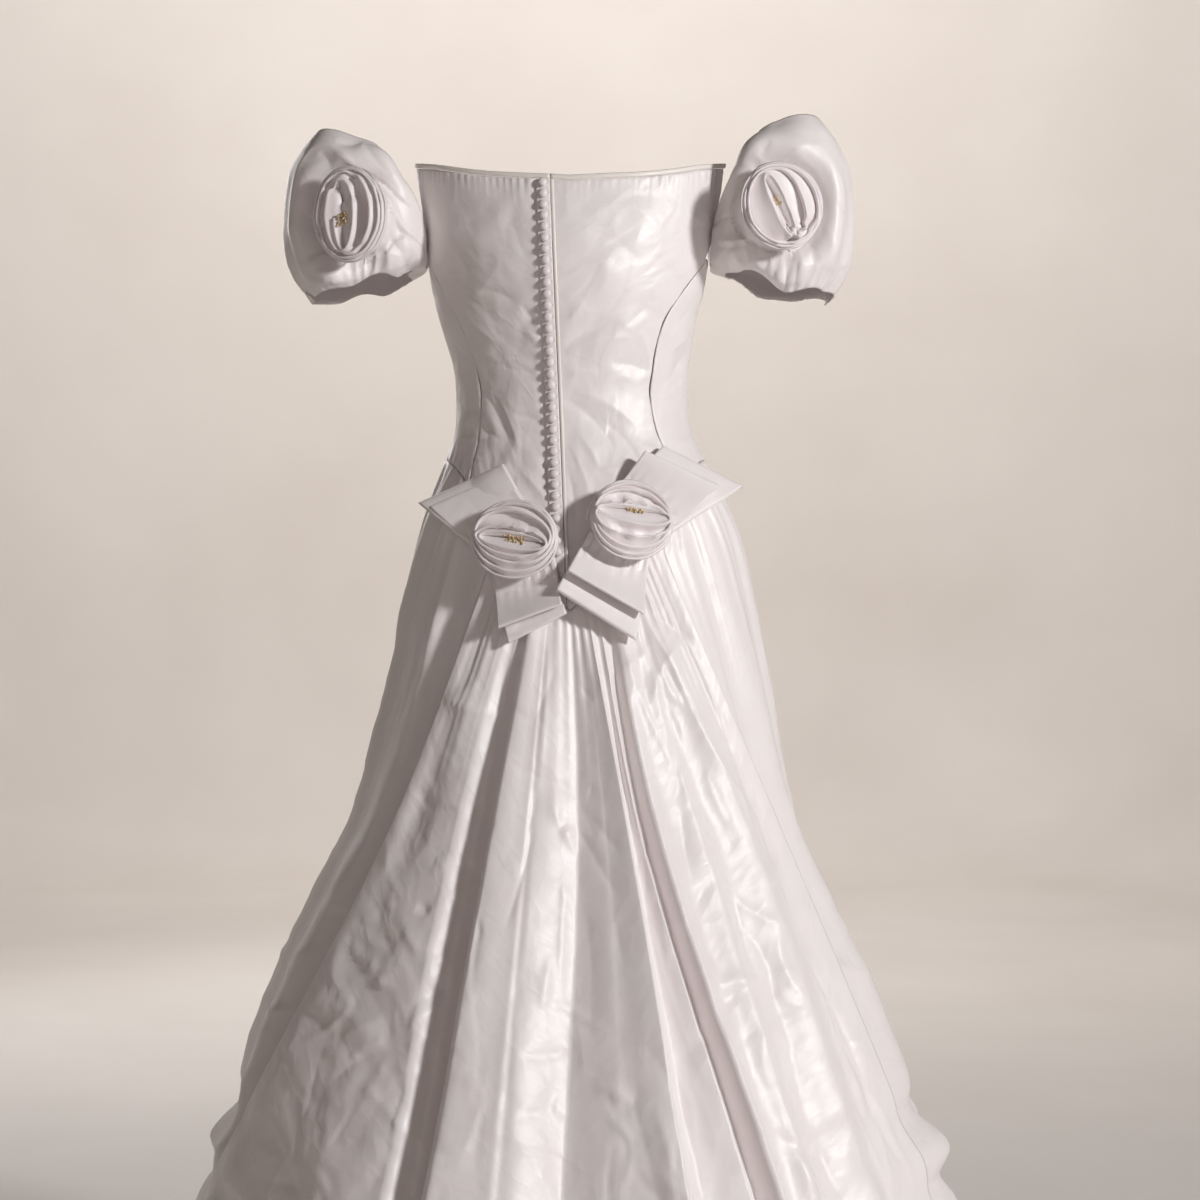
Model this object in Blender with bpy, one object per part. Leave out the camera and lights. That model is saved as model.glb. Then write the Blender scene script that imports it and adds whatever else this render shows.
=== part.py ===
"""Ball gown of pale blush taffeta, worn and empty.

A fitted basque bodice closes down the back with covered buttons. A gathered
skirt fans out below its pointed waist seam. Rolled fabric roses sit on the two
off-shoulder sleeves and on the two bows at the back of the waist.

Metres, +Z up. The wearer faces -Y, and the wearer's left is +X. The origin is
the centre of the natural waist. Angles run from the centre back (+Y) towards
the wearer's left, so 90 degrees is the left side and 180 the centre front.
Every cloth piece is a grid of points, rows from the top down and columns with
the angle, which becomes a closed wall.
"""

import math

import bpy
import numpy as np

# Cloth
WALL = 0.0015  # taffeta with its backing
BAND_WALL = 0.0011  # single folded band, as in bows and the placket
ROSE_WALL = 0.0014  # level thickness of a rose's rolled fold
SEAM = 0.0003  # clearance between two pieces at a seam
WAIST_CLEAR = 0.0006  # clearance along the waist seam, whose two sides have other columns
HEM = -1.080  # height of the floor
MEETING_STEPS = 40  # repeats that find where a column meets an edge

# Form under the cloth
FORM_COLUMNS = ("height", "left", "right", "back", "front")
FORM = np.array(
    [
        (-1.080, 0.490, 0.490, 0.560, 0.420),
        (-0.900, 0.415, 0.418, 0.450, 0.365),
        (-0.760, 0.352, 0.360, 0.368, 0.318),
        (-0.600, 0.304, 0.304, 0.290, 0.262),
        (-0.500, 0.258, 0.260, 0.244, 0.228),
        (-0.400, 0.211, 0.218, 0.202, 0.196),
        (-0.300, 0.185, 0.199, 0.166, 0.164),
        (-0.200, 0.168, 0.182, 0.134, 0.136),
        (-0.120, 0.149, 0.164, 0.113, 0.116),
        (-0.060, 0.127, 0.135, 0.094, 0.099),
        (-0.030, 0.1175, 0.1215, 0.088, 0.091),
        (0.000, 0.1150, 0.1160, 0.086, 0.087),
        (0.035, 0.1175, 0.1165, 0.089, 0.093),
        (0.070, 0.1275, 0.1220, 0.095, 0.107),
        (0.110, 0.1375, 0.1305, 0.100, 0.124),
        (0.155, 0.1455, 0.1400, 0.099, 0.130),
        (0.200, 0.1510, 0.1480, 0.092, 0.118),
        (0.250, 0.1580, 0.1560, 0.082, 0.101),
    ]
)
CENTRE_BACK_LOW = (-0.200, 0.003)  # height and sideways place of the closing
CENTRE_BACK_HIGH = (0.215, 0.020)

# Seam lines. Edges are given as angle in degrees, then height.
WAIST_SEAM = np.array(
    [
        (0, -0.205),
        (10, -0.176),
        (20, -0.147),
        (32, -0.116),
        (45, -0.087),
        (60, -0.067),
        (90, -0.055),
        (120, -0.062),
        (150, -0.092),
        (180, -0.140),
    ]
)
BACK_NECK = np.array([(0, 0.2145), (30, 0.2205), (60, 0.2330), (84, 0.2400)])
FRONT_NECK = np.array(
    [
        (80, 0.143),
        (97, 0.143),
        (110, 0.158),
        (124, 0.192),
        (140, 0.204),
        (160, 0.192),
        (180, 0.176),
    ]
)
# Princess seams of the back: height, then degrees from the centre on each side
PRINCESS_SEAM = np.array(
    [
        (-0.120, 45, 42),
        (-0.060, 48, 45),
        (-0.020, 50, 43),
        (0.010, 50.5, 42),
        (0.040, 53, 44),
        (0.085, 60, 50),
        (0.115, 70, 62),
        (0.143, 80, 76),
        (0.170, 83, 82),
        (0.250, 84, 84),
    ]
)
UNDERARM = 0.143
SIDE_SEAM = 97
FRONT_SEAM = 140
BINDING_HEIGHT = 0.005
BINDING_WALL = 0.0026
BINDING_OUT = 0.0008
BACK_COLUMNS = 10
SIDE_BACK_COLUMNS = 7
SIDE_FRONT_COLUMNS = 6
FRONT_COLUMNS = 9
BODICE_ROWS = 12
UPPER_ROWS = 4  # of the back panels, above the underarm

# Closing
PLACKET_WIDTH = 0.0135
PIPING_WIDTH = 0.0036
PIPING_WALL = 0.0018
PIPING_APART = 0.0002  # from the closing line
STRIP_CLEAR = 0.0006  # between these strips and the panels they lie on
BUTTONS = 34
BUTTON_TOP = 0.2065
BUTTON_LOW = -0.1500
BUTTON_RADIUS = 0.0044
BUTTON_DOME = 0.0038
BUTTON_SIDES = 8
BUTTON_RINGS = ((0.82, 0.0), (1.0, 0.34))  # radius and height as shares
BUTTON_CLEAR = 0.0005

# Skirt. Fold lines of the back panel, from its left edge to its right one:
# sideways place in millimetres at four heights, and depth in millimetres.
BACK_STATIONS = (-1.08, -0.76, -0.39, -0.15)
BACK_FOLDS = np.array(
    [
        # hem, calf, thigh, seam, depth
        (440, 328, 152, 72, 14),
        (360, 260, 124, 52, 9),
        (270, 192, 97, 38, 14),
        (192, 136, 75, 31, -24),
        (180, 126, 66, 26, 14),
        (62, 50, 32, 18, 12),
        (44, 30, 13, 12, -4),
        (24, 14, -7, 6, 5),
        (-62, -44, -26, 1, -22),
        (-152, -104, -43, -5, 18),
        (-184, -124, -50, -11, -3),
        (-254, -170, -60, -17, 9),
        (-272, -183, -67, -23, -18),
        (-290, -195, -74, -29, 15),
        (-308, -208, -87, -37, 0),
        (-326, -221, -103, -46, 9),
        (-352, -248, -129, -55, -6),
        (-394, -290, -160, -64, 14),
        (-410, -304, -170, -76, 3),
        (-442, -330, -182, -89, 12),
    ]
)
# Fold lines of a side panel, from the back panel to the front one: degrees at
# the hem, at the thigh and at the seam, and depth in millimetres.
SIDE_STATIONS = (-1.08, -0.42, -0.06)
LEFT_FOLDS = np.array(
    [
        (75, 64, 40, -9),
        (86, 79, 48, 10),
        (95, 90, 59, -6),
        (104, 98, 72, 8),
        (110, 106, 87, -7),
        (116, 113, 102, 6),
        (122, 120, 118, -2),
    ]
)
RIGHT_FOLDS = np.array(
    [
        (75, 63, 42, -8),
        (86, 75, 52, 9),
        (95, 87, 64, -7),
        (104, 97, 78, 8),
        (111, 106, 92, -6),
        (117, 114, 106, 6),
        (122, 120, 118, -2),
    ]
)
FRONT_FOLDS = 13  # fold lines of the front panel, ridge and trough in turn
FRONT_DEPTH = 0.009
LEFT_TUCK_DEPTH = 0.007  # how far inside the back panel's edge the side panel passes
RIGHT_TUCK_DEPTH = 0.012
TUCK_START = 0.32  # growth of the folds from which it passes behind that edge
TUCK_OVERLAP = 0.032
# Depth of the folds as a share of its full value, by the way down from the seam
FOLD_GROWTH = np.array(
    [(0, 0.0), (0.03, 0.08), (0.10, 0.26), (0.25, 0.56), (0.45, 0.88), (0.60, 1.0), (1.0, 1.12)]
)
# Pinched and puffed bands round the sides: height, half length, depth
SIDE_PUFFS = np.array(
    [(-0.690, 0.016, -0.011), (-0.728, 0.017, 0.013), (-0.760, 0.013, -0.008)]
)
PUFF_START = (52, 74)  # degrees over which these bands begin
PUFF_STOP = (122, 142)
SKIRT_ROWS = (
    0, 0.035, 0.08, 0.14, 0.21, 0.29, 0.37, 0.45, 0.53,
    0.60, 0.64, 0.662, 0.685, 0.71, 0.735, 0.79, 0.86, 0.93, 1.0,
)  # fmt: skip

# Sleeves: degrees round the arm from its outer side over the back, the heights
# of the upper edge on the left and the right sleeve, and that of the lower edge
SLEEVE_EDGES = np.array(
    [
        (0, 0.262, 0.274, 0.106),
        (45, 0.269, 0.282, 0.108),
        (90, 0.260, 0.277, 0.112),
        (125, 0.246, 0.259, 0.124),
        (152, 0.210, 0.216, 0.130),
        (180, 0.156, 0.156, 0.130),
        (205, 0.188, 0.190, 0.128),
        (235, 0.226, 0.232, 0.122),
        (270, 0.248, 0.256, 0.113),
        (315, 0.258, 0.268, 0.107),
        (360, 0.262, 0.274, 0.106),
    ]
)
# Fullness of the sleeve from its lower edge (0) to its upper edge (1)
SLEEVE_FULLNESS = np.array(
    [(0, 0.72), (0.12, 0.90), (0.35, 1.0), (0.60, 1.0), (0.80, 0.92), (0.92, 0.78), (1, 0.62)]
)
LEFT_SLEEVE_CENTRE = 0.212
RIGHT_SLEEVE_CENTRE = 0.207
SLEEVE_HALF_WIDTH = 0.0715
SLEEVE_HALF_DEPTH = 0.0760
SLEEVE_SQUARENESS = 2.5  # 2 would be an ellipse
SLEEVE_GATHERS = 7
SLEEVE_COLUMNS = 32
SLEEVE_ROWS = 9
SLEEVE_GATHER_DEPTH = 0.0035
SLEEVE_GATHER_FADE = 0.75  # share of that depth lost at the upper edge
SLEEVE_CLEAR = 0.0009
SLEEVE_BINDING_CLEAR = 0.0022  # beside the bound neck edge
SLEEVE_BINDING_FROM = 0.215  # height where that clearance begins, and the way over which it grows
SLEEVE_BINDING_RISE = 0.015
SLEEVE_FRONT_CLEAR = 0.0018
SLEEVE_FRONT_FROM = 91  # degrees from the centre back
SLEEVE_GATHER_SWAY = 0.8  # how unevenly the gathers are spaced

# Roses: place of the base, azimuth and tilt of the face in degrees, half
# length along the slit, half length across it, height of the outer wrap and of
# the inner one, turn of the slit from level in degrees
ROSES = {
    "sleeve_rose_left": ((0.2080, 0.0715, 0.177), 20, 0, 0.0480, 0.0430, 0.018, 0.028, 86),
    "sleeve_rose_right": ((-0.2000, 0.0735, 0.185), -10, 0, 0.0440, 0.0450, 0.018, 0.028, 62),
    "waist_rose_left": ((0.0490, 0.1195, -0.1440), 12, 14, 0.0440, 0.0425, 0.020, 0.030, 8),
    "waist_rose_right": ((-0.0540, 0.1155, -0.1245), -13, 14, 0.0420, 0.0410, 0.020, 0.030, 7),
}
ROSE_TURNS = 3.25
ROSE_PROFILE = ((1.0, 1.0), (0.92, 0.55), (0.54, 0.0))  # spread and rise as shares, face to foot
ROSE_SLIT = 0.17  # half width of the slit as a share of the face
ROSE_SLIT_LENGTH = 0.66
ROSE_CLOSING = 1.15  # above 1, the wraps lie closer together at the slit
ROSE_COLUMNS_PER_TURN = 16

# Bow loops: rose, both ends of the fold at the tip as sideways place and
# height, how far that fold stands off the rose's base, opening of the loop
BOWS = {
    "bow_upper_left": ("waist_rose_left", (0.1490, -0.0990), (0.0665, -0.0620), -0.010, 0.012),
    "bow_lower_left": ("waist_rose_left", (0.0606, -0.2297), (0.0030, -0.2050), 0.010, 0.005),
    "bow_upper_right": ("waist_rose_right", (-0.0805, -0.0470), (-0.1690, -0.0835), -0.010, 0.012),
    "bow_lower_right": ("waist_rose_right", (0.0110, -0.1850), (-0.0594, -0.2350), 0.014, 0.008),
}
BOW_ROOT = 0.018  # distance from the rose's centre to a loop's root
BOW_ROOT_HALF_WIDTH = 0.031
BOW_LAYERS = 0.0022  # between the middles of the two layers at the root
BOW_COLUMNS = 6
BOW_FLAT = 0.25  # share of a loop's length that lies flat under the rose
# Way along the band, then rise as a share of the opening: front, tip, back
BOW_PATH = (
    (0.0, 0.0), (BOW_FLAT, 0.0), (0.5, 0.28), (0.75, 0.48), (0.93, 0.48), (0.985, 0.30),
    (1.0, 0.0),
    (0.985, -0.30), (0.93, -0.48), (0.75, -0.48), (0.5, -0.28), (BOW_FLAT, 0.0), (0.0, 0.0),
)  # fmt: skip
BOW_CLEAR = 0.0012

# Colours in linear light
BLUSH = (0.80, 0.69, 0.68)
BLUSH_DEEP = (0.76, 0.62, 0.61)
IVORY = (0.80, 0.74, 0.68)
TAFFETA_ROUGHNESS = 0.38


def curve(x, stations, values):
    """Smooth curve through the values at rising stations."""
    stations = np.asarray(stations, float)
    values = np.asarray(values, float)
    slopes = np.gradient(values, stations)
    x = np.clip(x, stations[0], stations[-1])
    i = np.clip(np.searchsorted(stations, x) - 1, 0, len(stations) - 2)
    length = stations[i + 1] - stations[i]
    t = (x - stations[i]) / length
    return (
        values[i] * (1 + 2 * t) * (1 - t) ** 2
        + slopes[i] * length * t * (1 - t) ** 2
        + values[i + 1] * t * t * (3 - 2 * t)
        - slopes[i + 1] * length * t * t * (1 - t)
    )


def form(height, column):
    return curve(height, FORM[:, 0], FORM[:, FORM_COLUMNS.index(column)])


def half_width(angle, height):
    return np.where(np.sin(angle) > 0, form(height, "left"), form(height, "right"))


def half_depth(angle, height):
    return np.where(np.cos(angle) > 0, form(height, "back"), form(height, "front"))


def on_form(angle, height, out=0.0):
    """Points on the form, moved out by the given distance in their own level."""
    angle, height = np.broadcast_arrays(angle, height)
    width = half_width(angle, height)
    depth = half_depth(angle, height)
    across = np.sin(angle) / width
    along = np.cos(angle) / depth
    size = np.hypot(across, along)
    x = width * np.sin(angle) + out * across / size
    y = depth * np.cos(angle) + out * along / size
    return np.stack([x, y, height + 0 * x], axis=-1)


def seam_angle(height):
    """Half a seam's clearance as an angle."""
    return 0.5 * SEAM / np.minimum(form(height, "back"), form(height, "front"))


def from_back(angle):
    """Degrees from the centre back, on either side."""
    return np.abs((np.degrees(angle) + 180) % 360 - 180)


def waist(angle):
    return curve(from_back(angle), WAIST_SEAM[:, 0], WAIST_SEAM[:, 1])


def back_neck(angle):
    return curve(from_back(angle), BACK_NECK[:, 0], BACK_NECK[:, 1])


def front_neck(angle):
    return curve(from_back(angle), FRONT_NECK[:, 0], FRONT_NECK[:, 1])


def closing_place(height):
    """Sideways place of the line where the back closes."""
    low, high = CENTRE_BACK_LOW, CENTRE_BACK_HIGH
    return low[1] + (high[1] - low[1]) * (height - low[0]) / (high[0] - low[0])


def place_angle(place, height):
    """Angle of a point of the back at this sideways place."""
    width = np.where(np.asarray(place) > 0, form(height, "left"), form(height, "right"))
    return np.arcsin(np.clip(place / width, -1, 1))


def closing(height, aside=0.0):
    return place_angle(closing_place(height) + aside, height)


def princess(height, side):
    column = 1 if side > 0 else 2
    return side * np.radians(curve(height, PRINCESS_SEAM[:, 0], PRINCESS_SEAM[:, column]))


def level(degrees):
    """A seam that keeps its angle."""
    return lambda height: np.radians(degrees) + 0 * height


def inset(line, side):
    """The line moved by half a seam's clearance, so that a gap stays."""
    return lambda height: line(height) + side * seam_angle(height)


def meeting_height(edge, start, stop, u):
    """Height at which the column u between two seam lines meets an edge."""
    height = edge(0.5 * (start(np.zeros(1)) + stop(np.zeros(1)))) + 0 * u
    for _ in range(MEETING_STEPS):
        height = edge(start(height) * (1 - u) + stop(height) * u)
    return height


def panel(start, stop, top, low, columns, rows, out=0.0, thickness=WALL, knee=None, upper_rows=0):
    """Outer and inner grid of a bodice panel between two seam lines and two edges.

    Columns are a number or the shares of the way across. With a knee, the upper
    rows end at that height and the others start there, so that a shorter
    neighbour has the same points along the shared seam.
    """
    u = np.linspace(0, 1, columns) if isinstance(columns, int) else np.asarray(columns)
    high = meeting_height(top, start, stop, u)
    bottom = meeting_height(low, start, stop, u)
    parts = []
    if knee is not None:
        share = np.linspace(0, 1, upper_rows, endpoint=False)[:, None]
        parts.append(high + (knee - high) * share)
        high = knee + 0 * u
    share = np.linspace(0, 1, rows)[:, None]
    parts.append(high + (bottom - high) * share)
    height = np.concatenate(parts)
    angle = start(height) * (1 - u) + stop(height) * u
    return on_form(angle, height, out), on_form(angle, height, out - thickness)


def normals(grid, around=False):
    """Unit normals of a grid, facing out where angles rise and rows descend."""
    if around:
        across = np.roll(grid, -1, axis=1) - np.roll(grid, 1, axis=1)
    else:
        across = np.gradient(grid, axis=1)
    down = np.gradient(grid, axis=0)
    out = np.cross(across, down)
    return out / np.linalg.norm(out, axis=-1, keepdims=True)


def material(name, colour, roughness=TAFFETA_ROUGHNESS, metallic=0.0):
    made = bpy.data.materials.new(name)
    made.use_nodes = True
    shader = made.node_tree.nodes["Principled BSDF"]
    shader.inputs["Base Color"].default_value = (*colour, 1.0)
    shader.inputs["Roughness"].default_value = roughness
    shader.inputs["Metallic"].default_value = metallic
    made.diffuse_color = (*colour, 1.0)
    return made


def add_object(name, points, faces, colour, flat_from=None):
    """Object with its own material. Faces from flat_from on are shaded flat."""
    mesh = bpy.data.meshes.new(name)
    mesh.from_pydata([tuple(p) for p in points], [], [tuple(f) for f in faces])
    limit = len(faces) if flat_from is None else flat_from
    mesh.polygons.foreach_set("use_smooth", [i < limit for i in range(len(faces))])
    mesh.materials.append(material(name + "_taffeta", colour))
    mesh.update()
    made = bpy.data.objects.new(name, mesh)
    bpy.context.scene.collection.objects.link(made)
    return made


def wall(name, outer, inner, colour=BLUSH, around=False):
    """Closed wall between an outer and an inner grid."""
    rows, columns = outer.shape[:2]
    count = rows * columns
    index = np.arange(count).reshape(rows, columns)
    here = index if around else index[:, :-1]
    following = np.roll(index, -1, axis=1) if around else index[:, 1:]
    sheet = np.stack([here[:-1], following[:-1], following[1:], here[1:]], axis=-1).reshape(-1, 4)
    turned_over = [0, 3, 2, 1]  # keeps each inner face's diagonal on that of its outer face
    faces = [sheet, sheet[:, turned_over] + count]
    top, top_next = here[0], following[0]
    low, low_next = here[-1], following[-1]
    borders = [
        np.stack([top_next, top, top + count, top_next + count], axis=-1),
        np.stack([low, low_next, low_next + count, low + count], axis=-1),
    ]
    if not around:
        first, last = index[:, 0], index[:, -1]
        borders.append(np.stack([first[:-1], first[1:], first[1:] + count, first[:-1] + count], axis=-1))
        borders.append(np.stack([last[1:], last[:-1], last[:-1] + count, last[1:] + count], axis=-1))
    flat_from = 2 * len(sheet)
    points = np.concatenate([outer.reshape(-1, 3), inner.reshape(-1, 3)])
    return add_object(name, points, np.concatenate(faces + borders), colour, flat_from)


# ---- Bodice ----


def below_binding(edge):
    return lambda angle: edge(angle) - BINDING_HEIGHT - SEAM


def above_waist(angle):
    return waist(angle) + 0.5 * WAIST_CLEAR


def back_panel(side):
    seam = inset(lambda height: princess(height, side), -side)
    centre = inset(closing, side)
    start, stop = (centre, seam) if side > 0 else (seam, centre)
    return panel(
        start, stop, below_binding(back_neck), above_waist, BACK_COLUMNS, BODICE_ROWS,
        knee=UNDERARM, upper_rows=UPPER_ROWS,
    )  # fmt: skip


def bodice():
    wall("bodice_back_left", *back_panel(1))
    wall("bodice_back_right", *back_panel(-1))
    left_seam = lambda height: princess(height, 1)
    right_seam = lambda height: princess(height, -1)
    under_binding = below_binding(front_neck)
    panels = {
        "bodice_side_back_left": (left_seam, level(SIDE_SEAM), front_neck, SIDE_BACK_COLUMNS),
        "bodice_side_front_left": (
            level(SIDE_SEAM), level(FRONT_SEAM), under_binding, SIDE_FRONT_COLUMNS,
        ),
        "bodice_front": (level(FRONT_SEAM), level(360 - FRONT_SEAM), under_binding, FRONT_COLUMNS),
        "bodice_side_front_right": (
            level(-FRONT_SEAM), level(-SIDE_SEAM), under_binding, SIDE_FRONT_COLUMNS,
        ),
        "bodice_side_back_right": (level(-SIDE_SEAM), right_seam, front_neck, SIDE_BACK_COLUMNS),
    }  # fmt: skip
    for name, (start, stop, top, columns) in panels.items():
        start, stop = inset(start, 1), inset(stop, -1)
        wall(name, *panel(start, stop, top, above_waist, columns, BODICE_ROWS))


def bindings():
    """Bound neck edge: one strip each side of the closing, and one in front."""
    side = np.linspace(SIDE_SEAM, FRONT_SEAM, SIDE_FRONT_COLUMNS)
    front = np.linspace(FRONT_SEAM, 360 - FRONT_SEAM, FRONT_COLUMNS)
    degrees = np.concatenate([side, front[1:], 360 - side[-2::-1]])
    shares = (degrees - SIDE_SEAM) / (360 - 2 * SIDE_SEAM)
    end = level(PRINCESS_SEAM[-1, 1])
    other_end = level(-PRINCESS_SEAM[-1, 2])
    strips = {
        "neck_binding_back_left": (closing, end, back_neck, BACK_COLUMNS),
        "neck_binding_back_right": (other_end, closing, back_neck, BACK_COLUMNS),
        "neck_binding_front": (level(SIDE_SEAM), level(360 - SIDE_SEAM), front_neck, shares),
    }
    for name, (start, stop, edge, columns) in strips.items():
        low = lambda angle, edge=edge: edge(angle) - BINDING_HEIGHT
        start, stop = inset(start, 1), inset(stop, -1)
        outer, inner = panel(
            start, stop, edge, low, columns, 3, out=BINDING_OUT, thickness=BINDING_WALL
        )
        wall(name, outer, inner, IVORY)


def closing_strips():
    """The strip that carries the buttons, and the piped edge that carries their loops.

    Both have the heights of the back panel's points, so that they lie along it.
    """
    height = back_panel(1)[0][:-1, :1, 2]
    strips = {
        "loop_piping": (-PIPING_WIDTH - PIPING_APART, -PIPING_APART, PIPING_WALL),
        "button_placket": (PIPING_APART, PLACKET_WIDTH, BAND_WALL),
    }
    for name, (near, far, thickness) in strips.items():
        angle = closing(height, np.linspace(near, far, 3))
        out = STRIP_CLEAR + thickness
        outer, inner = on_form(angle, height, out), on_form(angle, height, STRIP_CLEAR)
        wall(name, outer, inner)
    return outer


def buttons(placket):
    """Covered buttons, each a low dome on the middle of the placket's points."""
    turn = np.arange(BUTTON_SIDES) * 2 * math.pi / BUTTON_SIDES
    middle = placket[:, 1]
    for number, height in enumerate(np.linspace(BUTTON_TOP, BUTTON_LOW, BUTTONS), 1):
        row = int(np.sum(middle[:, 2] > height)) - 1
        share = (middle[row, 2] - height) / (middle[row, 2] - middle[row + 1, 2])
        down = middle[row + 1] - middle[row]
        across = placket[row, 2] - placket[row, 0]
        across /= np.linalg.norm(across)
        out = np.cross(across, down)
        out /= np.linalg.norm(out)
        down = np.cross(out, across)
        foot = middle[row] * (1 - share) + middle[row + 1] * share + out * BUTTON_CLEAR
        points = []
        for radius, rise in BUTTON_RINGS:
            for t in turn:
                level_part = across * math.cos(t) + down * math.sin(t)
                points.append(foot + BUTTON_RADIUS * radius * level_part + BUTTON_DOME * rise * out)
        points.append(foot + BUTTON_DOME * out)
        n = BUTTON_SIDES
        following = [(i + 1) % n for i in range(n)]
        faces = [[i, following[i], following[i] + n, i + n] for i in range(n)]
        faces += [[i + n, following[i] + n, 2 * n] for i in range(n)]
        flat_from = len(faces)
        faces.append(list(range(n))[::-1])
        add_object(f"button_{number:02d}", points, faces, BLUSH_DEEP, flat_from)


# ---- Skirt ----


def back_line(row):
    """Angle of a fold line of the back panel, by height."""
    places = BACK_FOLDS[row, :4] / 1000
    return lambda height: place_angle(curve(height, BACK_STATIONS, places), height)


def side_line(folds, row, side):
    degrees = folds[row, :3]
    return lambda height: side * np.radians(curve(height, SIDE_STATIONS, degrees))


def fold_growth(angle, height):
    way_down = waist(angle) - height
    return curve(way_down, FOLD_GROWTH[:, 0], FOLD_GROWTH[:, 1])


def tucked(line, side):
    """The side panel's back edge: beside the back panel's edge at the seam, then behind it."""

    def angle(height):
        edge = line(height)
        over = np.clip(fold_growth(edge, height) - TUCK_START, 0, 1) * TUCK_OVERLAP
        return edge + side * (2 * seam_angle(height) - over / form(height, "left"))

    return angle


def puffs(angle, height):
    """Bands that are pinched in and puffed out round both sides."""
    degrees = from_back(angle)
    rise = np.clip((degrees - PUFF_START[0]) / (PUFF_START[1] - PUFF_START[0]), 0, 1)
    fall = np.clip((PUFF_STOP[1] - degrees) / (PUFF_STOP[1] - PUFF_STOP[0]), 0, 1)
    bands = 0
    for middle, half, depth in SIDE_PUFFS:
        bands = bands + depth * np.exp(-(((height - middle) / half) ** 2))
    return rise * fall * bands


def skirt_grid(lines, depths, columns_per_fold):
    """Grid of a skirt panel whose columns follow its fold lines."""
    count = (len(lines) - 1) * columns_per_fold + 1
    u = np.linspace(0, len(lines) - 1, count)
    first = np.minimum(u.astype(int), len(lines) - 2)
    share = u - first
    bend = share * share * (3 - 2 * share)
    depths = np.asarray(depths, float)
    depth = depths[first] * (1 - bend) + depths[first + 1] * bend

    def angles(height):
        all_lines = np.array([line(height) for line in lines])
        pick = np.broadcast_to(first, height.shape)[None]
        low = np.take_along_axis(all_lines, pick, 0)[0]
        high = np.take_along_axis(all_lines, pick + 1, 0)[0]
        return low * (1 - share) + high * share

    top = waist(angles(np.full(count, -0.1)))
    for _ in range(MEETING_STEPS):
        top = waist(angles(top))
    top = top - 0.5 * WAIST_CLEAR
    height = top + (HEM - top) * np.array(SKIRT_ROWS)[:, None]
    angle = angles(height)
    out = depth * fold_growth(angle, height) + puffs(angle, height)
    outer = on_form(angle, height, out)
    facing = normals(outer)
    plain = on_form(angle, height, 1.0) - on_form(angle, height)
    facing[0], facing[:, 0], facing[:, -1] = plain[0], plain[:, 0], plain[:, -1]
    return outer, outer - WALL * facing


def skirt():
    last = len(BACK_FOLDS) - 1
    lines = [inset(back_line(last), 1)]
    lines += [back_line(row) for row in range(last - 1, 0, -1)]
    lines.append(inset(back_line(0), -1))
    depths = BACK_FOLDS[::-1, 4] / 1000
    wall("skirt_back", *skirt_grid(lines, depths, 2))

    behind = BACK_FOLDS[0, 4] / 1000 - LEFT_TUCK_DEPTH
    edge = tucked(back_line(0), 1)
    lines = [edge] + [side_line(LEFT_FOLDS, row, 1) for row in range(len(LEFT_FOLDS))]
    lines[-1] = inset(lines[-1], -1)
    wall("skirt_side_left", *skirt_grid(lines, [behind, *LEFT_FOLDS[:, 3] / 1000], 2))

    edge = tucked(back_line(last), -1)
    lines = [edge] + [side_line(RIGHT_FOLDS, row, -1) for row in range(len(RIGHT_FOLDS))]
    lines[-1] = inset(lines[-1], 1)
    behind = BACK_FOLDS[last, 4] / 1000 - RIGHT_TUCK_DEPTH
    depths = [behind, *RIGHT_FOLDS[:, 3] / 1000]
    wall("skirt_side_right", *skirt_grid(lines[::-1], depths[::-1], 2))

    start = LEFT_FOLDS[-1, :3]
    wave = np.arange(FRONT_FOLDS)
    share = (wave + 0.3 * np.sin(4 * math.pi * wave / (FRONT_FOLDS - 1))) / (FRONT_FOLDS - 1)
    lines = []
    for part in share:
        degrees = start + (360 - 2 * start) * part
        lines.append(lambda height, degrees=degrees: np.radians(curve(height, SIDE_STATIONS, degrees)))
    lines[0] = inset(lines[0], 1)
    lines[-1] = inset(lines[-1], -1)
    depths = FRONT_DEPTH * np.cos(math.pi * wave) * -(0.75 + 0.35 * np.sin(1.7 * wave))
    depths[[0, -1]] = LEFT_FOLDS[-1, 3] / 1000
    wall("skirt_front", *skirt_grid(lines, depths, 2))


# ---- Roses and bows ----


def rose_frame(name):
    """Base, and the level, upward and outward directions of a rose's face."""
    base, azimuth, tilt = ROSES[name][:3]
    azimuth, tilt = math.radians(azimuth), math.radians(tilt)
    out = np.array(
        [math.sin(azimuth) * math.cos(tilt), math.cos(azimuth) * math.cos(tilt), math.sin(tilt)]
    )
    across = np.array([math.cos(azimuth), -math.sin(azimuth), 0.0])
    return np.array(base), across, np.cross(across, out), out


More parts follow.
